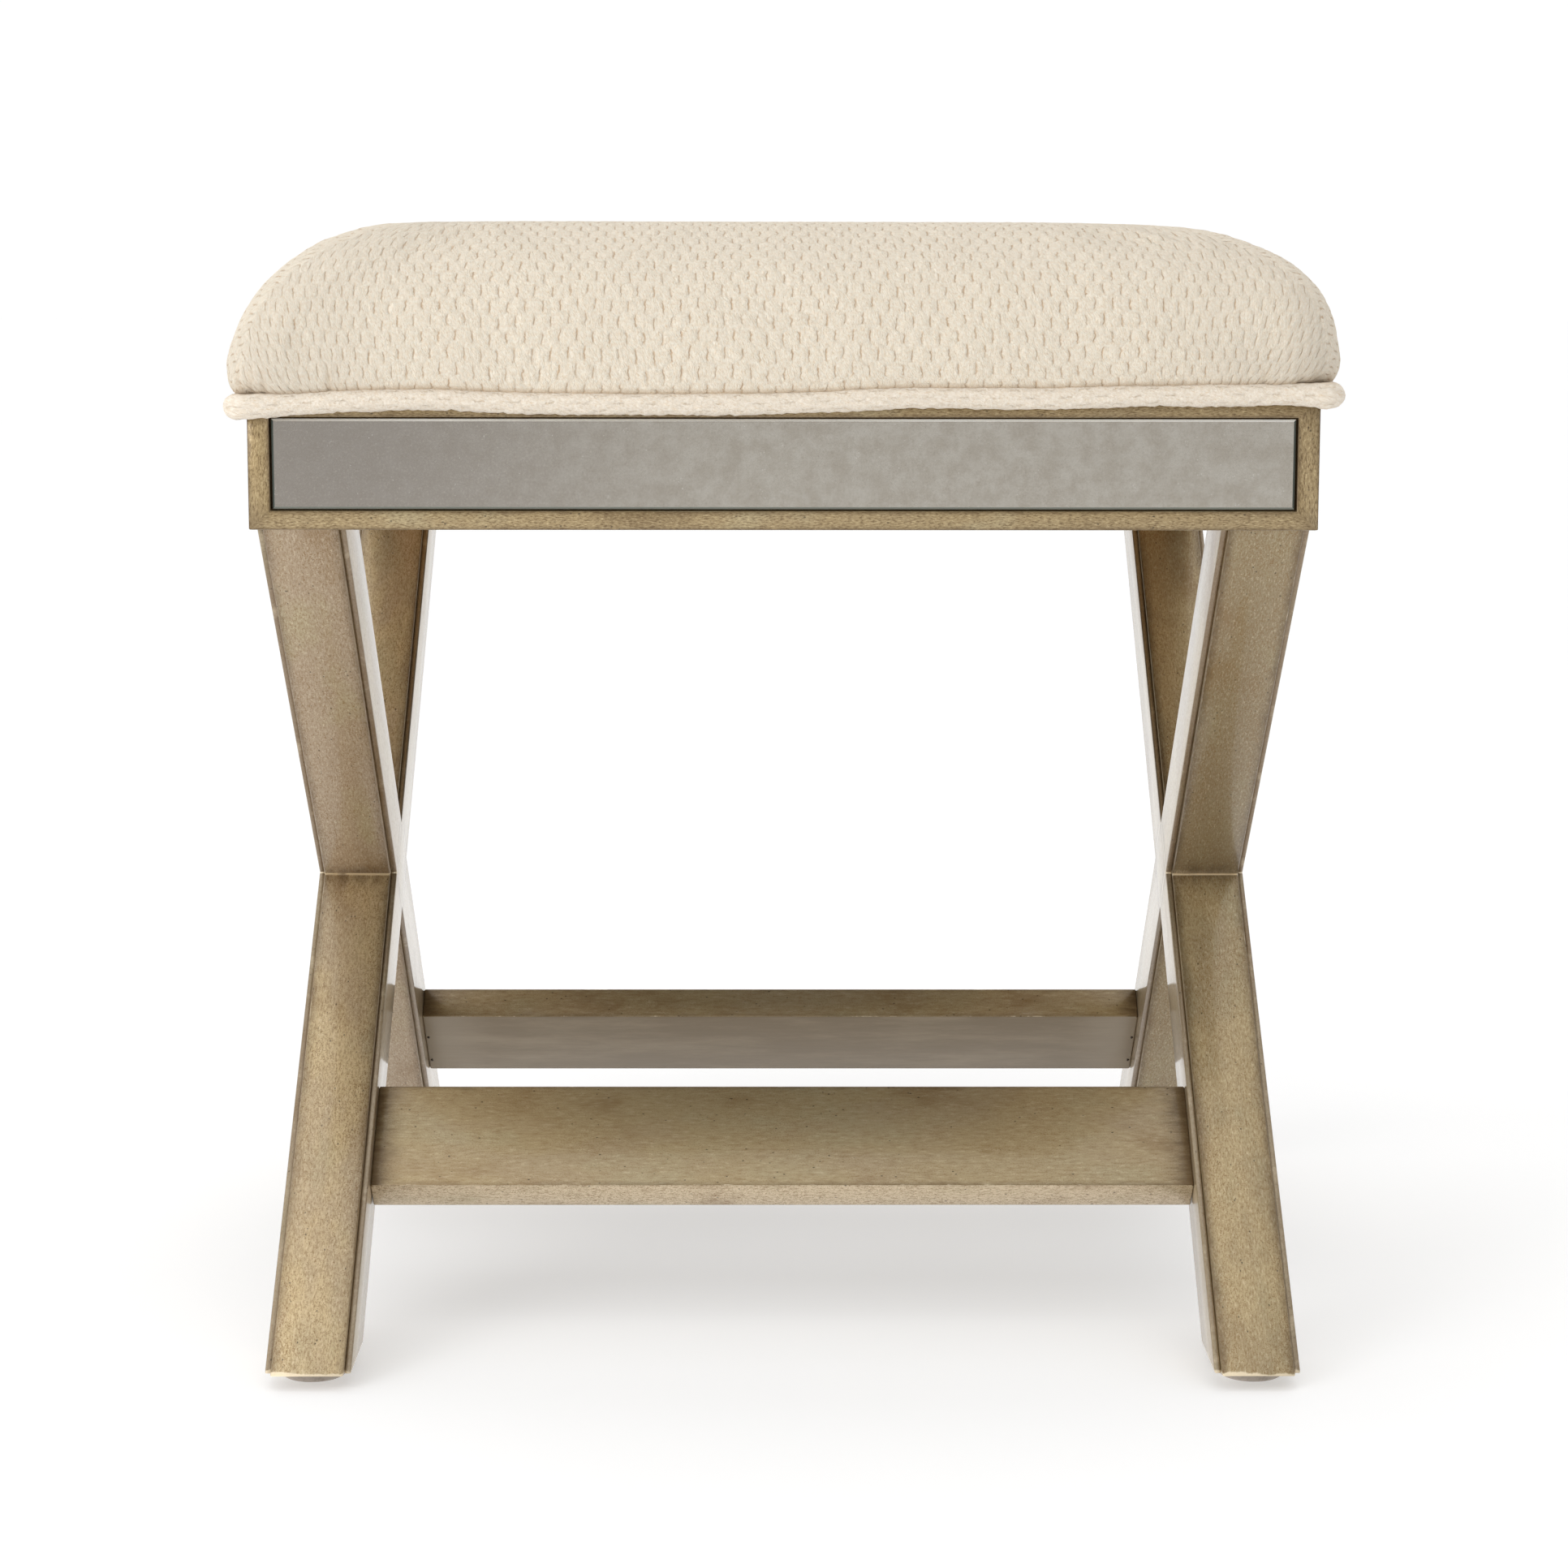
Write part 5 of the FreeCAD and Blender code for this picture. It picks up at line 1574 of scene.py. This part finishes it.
@dataclass
class Welt:
    """The fat cord in a sleeve of the same cloth, under the cushion's hem."""

    seam: SeamLine
    half: float = 233.2 * MM
    drop: float = 4.4 * MM
    radius: float = 4.9 * MM
    corner_swell: float = 0.9 * MM
    corner_reach: float = 22 * MM
    corner: float = 5.9 * MM
    step: float = 2.0 * MM
    bends: int = 8
    sides: int = 20
    sway: float = 0.5 * MM
    fuzz: float = 0.3 * MM
    tuft: float = 7.3 * MM

    def path(self) -> tuple[np.ndarray, np.ndarray]:
        """The centre line of the cord.

        Returns:
            The points of the line and the level direction outwards at each.
        """
        points, outward = [], []
        straight = self.half - self.corner
        for quarter in range(4):
            cos, sin = math.cos(quarter * math.pi / 2), math.sin(quarter * math.pi / 2)
            spin = np.array([[cos, -sin], [sin, cos]])
            for x in np.linspace(-straight, straight, int(2 * straight / self.step), endpoint=False):
                points.append(spin @ (x, -self.half))
                outward.append(spin @ (0, -1))
            for bend in range(self.bends):
                angle = bend / self.bends * math.pi / 2
                away = np.array([math.sin(angle), -math.cos(angle)])
                points.append(spin @ (np.array([straight, -straight]) + away * self.corner))
                outward.append(spin @ away)
        return np.array(points), np.array(outward)

    def angle_of(self, side: int) -> float:
        """Angle around the cord, from the inner side."""
        return (side / self.sides * 2 - 1) * math.pi

    def ring(self, x: float, y: float, level: float, outward: np.ndarray) -> list[Triple]:
        """The uneven soft ring of points around one point of the centre line.

        Args:
            x: Its place across the stool.
            y: Its place along the stool.
            level: Its height.
            outward: The level direction outwards.

        Returns:
            The ring.
        """
        sway = noise.noise(Vector((x * 22, y * 22, 1.3))) * self.sway
        from_corner = self.half * 2 - abs(x) - abs(y)
        swell = max(0.0, 1 - from_corner / self.corner_reach) * self.corner_swell
        fat = self.radius + noise.noise(Vector((x * 45, y * 45, 9.7))) * self.sway + swell
        points = []
        for angle in map(self.angle_of, range(self.sides)):
            low = 1 + 1.6 * max(0.0, -math.sin(angle))
            radius = fat + noise.noise(Vector((x * 330, y * 330, angle * 1.5))) * self.fuzz * low
            out = math.cos(angle) * radius + sway
            up = math.sin(angle) * radius - swell * 1.2
            points.append((x + outward[0] * out, y + outward[1] * out, level + up))
        return points

    def cord(self) -> Piece:
        """Make the cord as a closed tube with a soft, uneven surface.

        Returns:
            The cord without a finish.
        """
        line, outward = self.path()
        steps = np.linalg.norm(np.roll(line, -1, axis=0) - line, axis=1)
        tufts = 2 * round(steps.sum() / self.tuft / 2)
        cloth = np.concatenate([[0], np.cumsum(steps)]) / steps.sum() * tufts
        levels = self.seam.mean - self.drop + self.seam.rise(line[:, 0], line[:, 1])
        points = []
        for (x, y), level, away in zip(line, levels, outward):
            points += self.ring(x, y, level, away)
        weaves = []
        for start, end in zip(cloth[:-1], cloth[1:]):
            for side in range(self.sides):
                weaves += [self.weave_at(side, start), self.weave_at(side, end),
                           self.weave_at(side + 1, end), self.weave_at(side + 1, start)]
        faces = [(a, d, c, b) for a, b, c, d in walls(len(line), self.sides, True)]
        return lay_weave(new_piece("welt_cord", (points, faces)), "CORNER", np.array(weaves))

    def weave_at(self, side: int, along: float) -> Triple:
        """The place of a point of the cord on the cloth.

        Args:
            side: Its number around the cord, from the inner side.
            along: Its way along the cord, in tufts.

        Returns:
            The place in tufts and the share of painted shade near the seam on top.
        """
        angle = self.angle_of(side)
        # Painted shade along the top of the cord, where it meets the cushion's hem.
        welt_seam_shade = max(0.0, math.sin(angle) - 0.82) / 0.18
        return angle * self.radius / self.tuft + 0.5, along, 0.4 * welt_seam_shade

    def build(self, finishes: Finishes) -> None:
        """Make and dress the cord."""
        piece = settle(self.cord(), finishes.welt, "cover_cloth", "seat_welt")


@dataclass
class DustCover:
    """Thin black cloth stapled under the seat, with its corners cut off."""

    half: float = 205.6 * MM
    corner: float = 52 * MM
    level: float = 435.6 * MM
    thick: float = 0.6 * MM
    sag: float = 1.2 * MM
    wave: float = 0.3 * MM
    crest: float = 0.2 * MM
    cells: int = 60

    def sheet(self) -> Piece:
        """Make the cloth as a thin sagging grid.

        Returns:
            The cloth without a finish.
        """
        steps = np.linspace(-self.half, self.half, self.cells + 1)
        points, numbers, faces = [], {}, []
        for i, x in enumerate(steps):
            for j, y in enumerate(steps):
                if abs(x) + abs(y) <= 2 * self.half - self.corner + 1e-6:
                    quarter = math.pi / 2 / self.half
                    dip = self.sag * math.cos(x * quarter) * math.cos(y * quarter)
                    wave = min(noise.noise(Vector((x * 22, y * 22, 4.0))) * self.wave, self.crest)
                    numbers[i, j] = len(points)
                    points.append((x, y, self.level - dip + wave))
        for i in range(self.cells):
            for j in range(self.cells):
                keys = ((i, j), (i + 1, j), (i + 1, j + 1), (i, j + 1))
                faces.append([numbers[key] for key in keys if key in numbers])
        piece = new_piece("dust_cloth_sheet", (points, [face for face in faces if len(face) > 2]))
        solid = piece.modifiers.new("thickness", "SOLIDIFY")
        solid.thickness = self.thick
        solid.offset = 0.0
        piece.data.shade_smooth()
        return piece

    def build(self, finishes: Finishes) -> None:
        """Make and dress the cloth."""
        piece = settle(self.sheet(), finishes.dust_cloth, "dust_cloth", "dust_cover")


@dataclass
class FootGlides:
    """Four round nylon glides with softened rims."""

    radius: float = 14.5 * MM
    height: float = 7 * MM
    bore: float = 4.2 * MM
    soft: float = 1.6 * MM
    chamfer: float = 0.8 * MM
    countersink: float = 0.6 * MM
    x: float = 210.15 * MM
    y: float = 206 * MM
    sides: int = 48

    def section(self) -> list[tuple[float, float]]:
        """Draw the section of a glide.

        Returns:
            Its corners as pairs of radius and height.
        """
        rim = []
        for step in range(5):
            angle = step / 4 * math.pi / 2
            rim.append((self.radius - self.soft * (1 - math.sin(angle)), self.soft * (1 - math.cos(angle))))
        return [(self.bore, self.height), (self.bore, self.countersink), (self.bore + self.countersink, 0.0),
                *rim, (self.radius, self.height - self.chamfer), (self.radius - self.chamfer, self.height)]

    def glide(self, corner: str, x: float, y: float) -> Piece:
        """Turn one glide.

        Args:
            corner: Its corner of the stool.
            x: Its place across the stool.
            y: Its place along the stool.

        Returns:
            The glide without a finish.
        """
        points, section = [], self.section()
        for side in range(self.sides):
            angle = side / self.sides * 2 * math.pi
            cos, sin = math.cos(angle), math.sin(angle)
            points += [(radius * cos, radius * sin, level) for radius, level in section]
        faces = [(a, d, c, b) for a, b, c, d in walls(self.sides, len(section), True)]
        piece = smooth(new_piece(f"{corner}_glide", (points, faces)), 40)
        piece.location = (x, y, 0)
        bpy.context.view_layer.update()
        return piece

    def build(self, finishes: Finishes) -> None:
        """Make and dress the four glides.

        Args:
            finishes: The stool's materials.
        """
        for side, x in (("left", -self.x), ("right", self.x)):
            for end, y in (("front", -self.y), ("back", self.y)):
                settle(self.glide(f"{end}_{side}", x, y), finishes.glide, "glide_plastic",
                       f"foot_glide_{end}_{side}")


@dataclass
class HiddenWork:
    """Carried-over parts under the seat that keep their own shapes."""

    steel: tuple[str, ...] = ("leg_bolts", "leg_washers", "dust_cover_staples")

    def build(self, finishes: Finishes) -> None:
        """Give each carried-over part its finish.

        Args:
            finishes: The stool's materials.
        """
        wear = {
            "seat_board": finishes.plywood,
            "left_bearer": finishes.softwood,
            "right_bearer": finishes.softwood,
            "leg_inserts": finishes.brass,
            "stretcher_dowels": finishes.beech,
            "stretcher_brads": finishes.brad,
        }
        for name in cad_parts:
            if name.endswith("_screws") or name in self.steel:
                wear[name] = finishes.steel
            elif name.startswith("corner_block_"):
                wear[name] = finishes.block_wood
        for name, material in wear.items():
            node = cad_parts[name]
            node.data.materials.clear()
            node.data.materials.append(material)
            log.info("%s: carried over with %s", name, material.name)


@dataclass
class Studio:
    """A white floor, an even white room, soft lights and the camera."""

    camera_place: Triple = (-7.1 * MM, -1716.4 * MM, 481.1 * MM)
    yaw: float = -0.28
    pitch: float = 8.06
    roll: float = -0.06
    lens: float = 79.87
    sensor: float = 36.0
    floor_reach: float = 60.0
    floor_tones: tuple[Tone, Tone] = ((213, 213, 213), (217, 217, 217))
    floor_glow: float = 0.385
    aim: Triple = (0, 0, 0.25)

    def floor(self) -> None:
        """Lay a wide white floor that glows a little, as a lit table does."""
        reach = self.floor_reach
        corners = [(-reach, -reach, 0), (reach, -reach, 0), (reach, reach, 0), (-reach, reach, 0)]
        floor = new_piece("studio_floor", (corners, [(0, 1, 2, 3)]))
        recipe = Recipe("studio_white")
        tone = recipe.place().cloud(3, 2, 0.5).blend(*self.floor_tones)
        floor.data.materials.append(recipe.done({
            "Base Color": tone, "Roughness": 0.85, "Specular IOR Level": 0.1,
            "Emission Color": WHITE, "Emission Strength": self.floor_glow}))

    def light(self, name: str, place: Triple, size: float, power: float) -> None:
        """Hang one soft square light that points at the stool.

        Args:
            name: The light's name.
            place: Where it hangs, in metres.
            size: Side of its square.
            power: Its power in watts.
        """
        lamp = bpy.data.lights.new(name, "AREA")
        lamp.shape, lamp.size, lamp.energy = "SQUARE", size, power
        holder = bpy.data.objects.new(name, lamp)
        bpy.context.scene.collection.objects.link(holder)
        holder.location = place
        holder.rotation_euler = (Vector(self.aim) - Vector(place)).to_track_quat("-Z", "Y").to_euler()

    def sky(self, strength: float, front: float, right: float) -> None:
        """Fill the room with white light that is dimmer in front and on the right.

        The backdrop itself stays evenly white.

        Args:
            strength: Brightness of the room.
            front: Share of the brightness straight in front.
            right: Share of the brightness on the right.
        """
        world = bpy.data.worlds.new("studio_sky")
        tree = Tree(world)
        direction = tree.node("TexCoord", {}, "Generated")
        room = direction.part(1).rise(-1.0, -0.1, strength, strength * front)
        room = room * direction.part(0).rise(0.25, 0.9, right, 1.0)
        backdrop = tree.node("LightPath", {}, "Is Camera Ray") * strength
        background = tree.nodes["Background"]
        tree.feed(WHITE, background.inputs["Color"])
        tree.feed(room.most(backdrop), background.inputs["Strength"])
        bpy.context.scene.world = world
        bpy.context.scene.view_settings.view_transform = "Standard"

    def aim_camera(self) -> None:
        """Set the camera to the fitted view."""
        data = bpy.data.cameras.new("camera")
        data.sensor_width = data.sensor_height = self.sensor
        data.lens = self.lens
        camera = bpy.data.objects.new("camera", data)
        bpy.context.scene.collection.objects.link(camera)
        place = Matrix.Translation(self.camera_place)
        for degrees, axis in ((self.yaw, "Z"), (-self.pitch, "X"), (self.roll, "Y"), (90, "X")):
            place = place @ Matrix.Rotation(math.radians(degrees), 4, axis)
        camera.matrix_world = place
        bpy.context.scene.camera = camera

    def build(self) -> None:
        """Set up the whole studio."""
        self.floor()
        self.sky(1.02, 0.55, 0.7)
        self.light("overhead_soft", (0.0, -1.0, 2.6), 2.4, 8)
        self.light("left_soft", (-1.8, -1.9, 1.1), 1.3, 21)
        self.aim_camera()


def main() -> None:
    """Build the studio and every piece of the stool in order."""
    logging.basicConfig(level=logging.INFO, format="%(name)s %(message)s")
    Studio().build()
    finishes = Finishes()
    Apron().build(finishes)
    EndFrame(turn=0, name="right").build(finishes)
    EndFrame(turn=180, name="left").build(finishes)
    Stretchers().build(finishes)
    seam = SeamLine()
    left_edge = RollEdge(roll=69.3 * MM, fullness=2.2, shoulder=446.4 * MM)
    right_edge = RollEdge(roll=113.4 * MM, fullness=3.1, shoulder=450.3 * MM)
    Cushion(seam, left_edge, right_edge).build(finishes)
    Welt(seam).build(finishes)
    DustCover().build(finishes)
    FootGlides().build(finishes)
    HiddenWork().build(finishes)


if __name__ == "__main__":
    main()
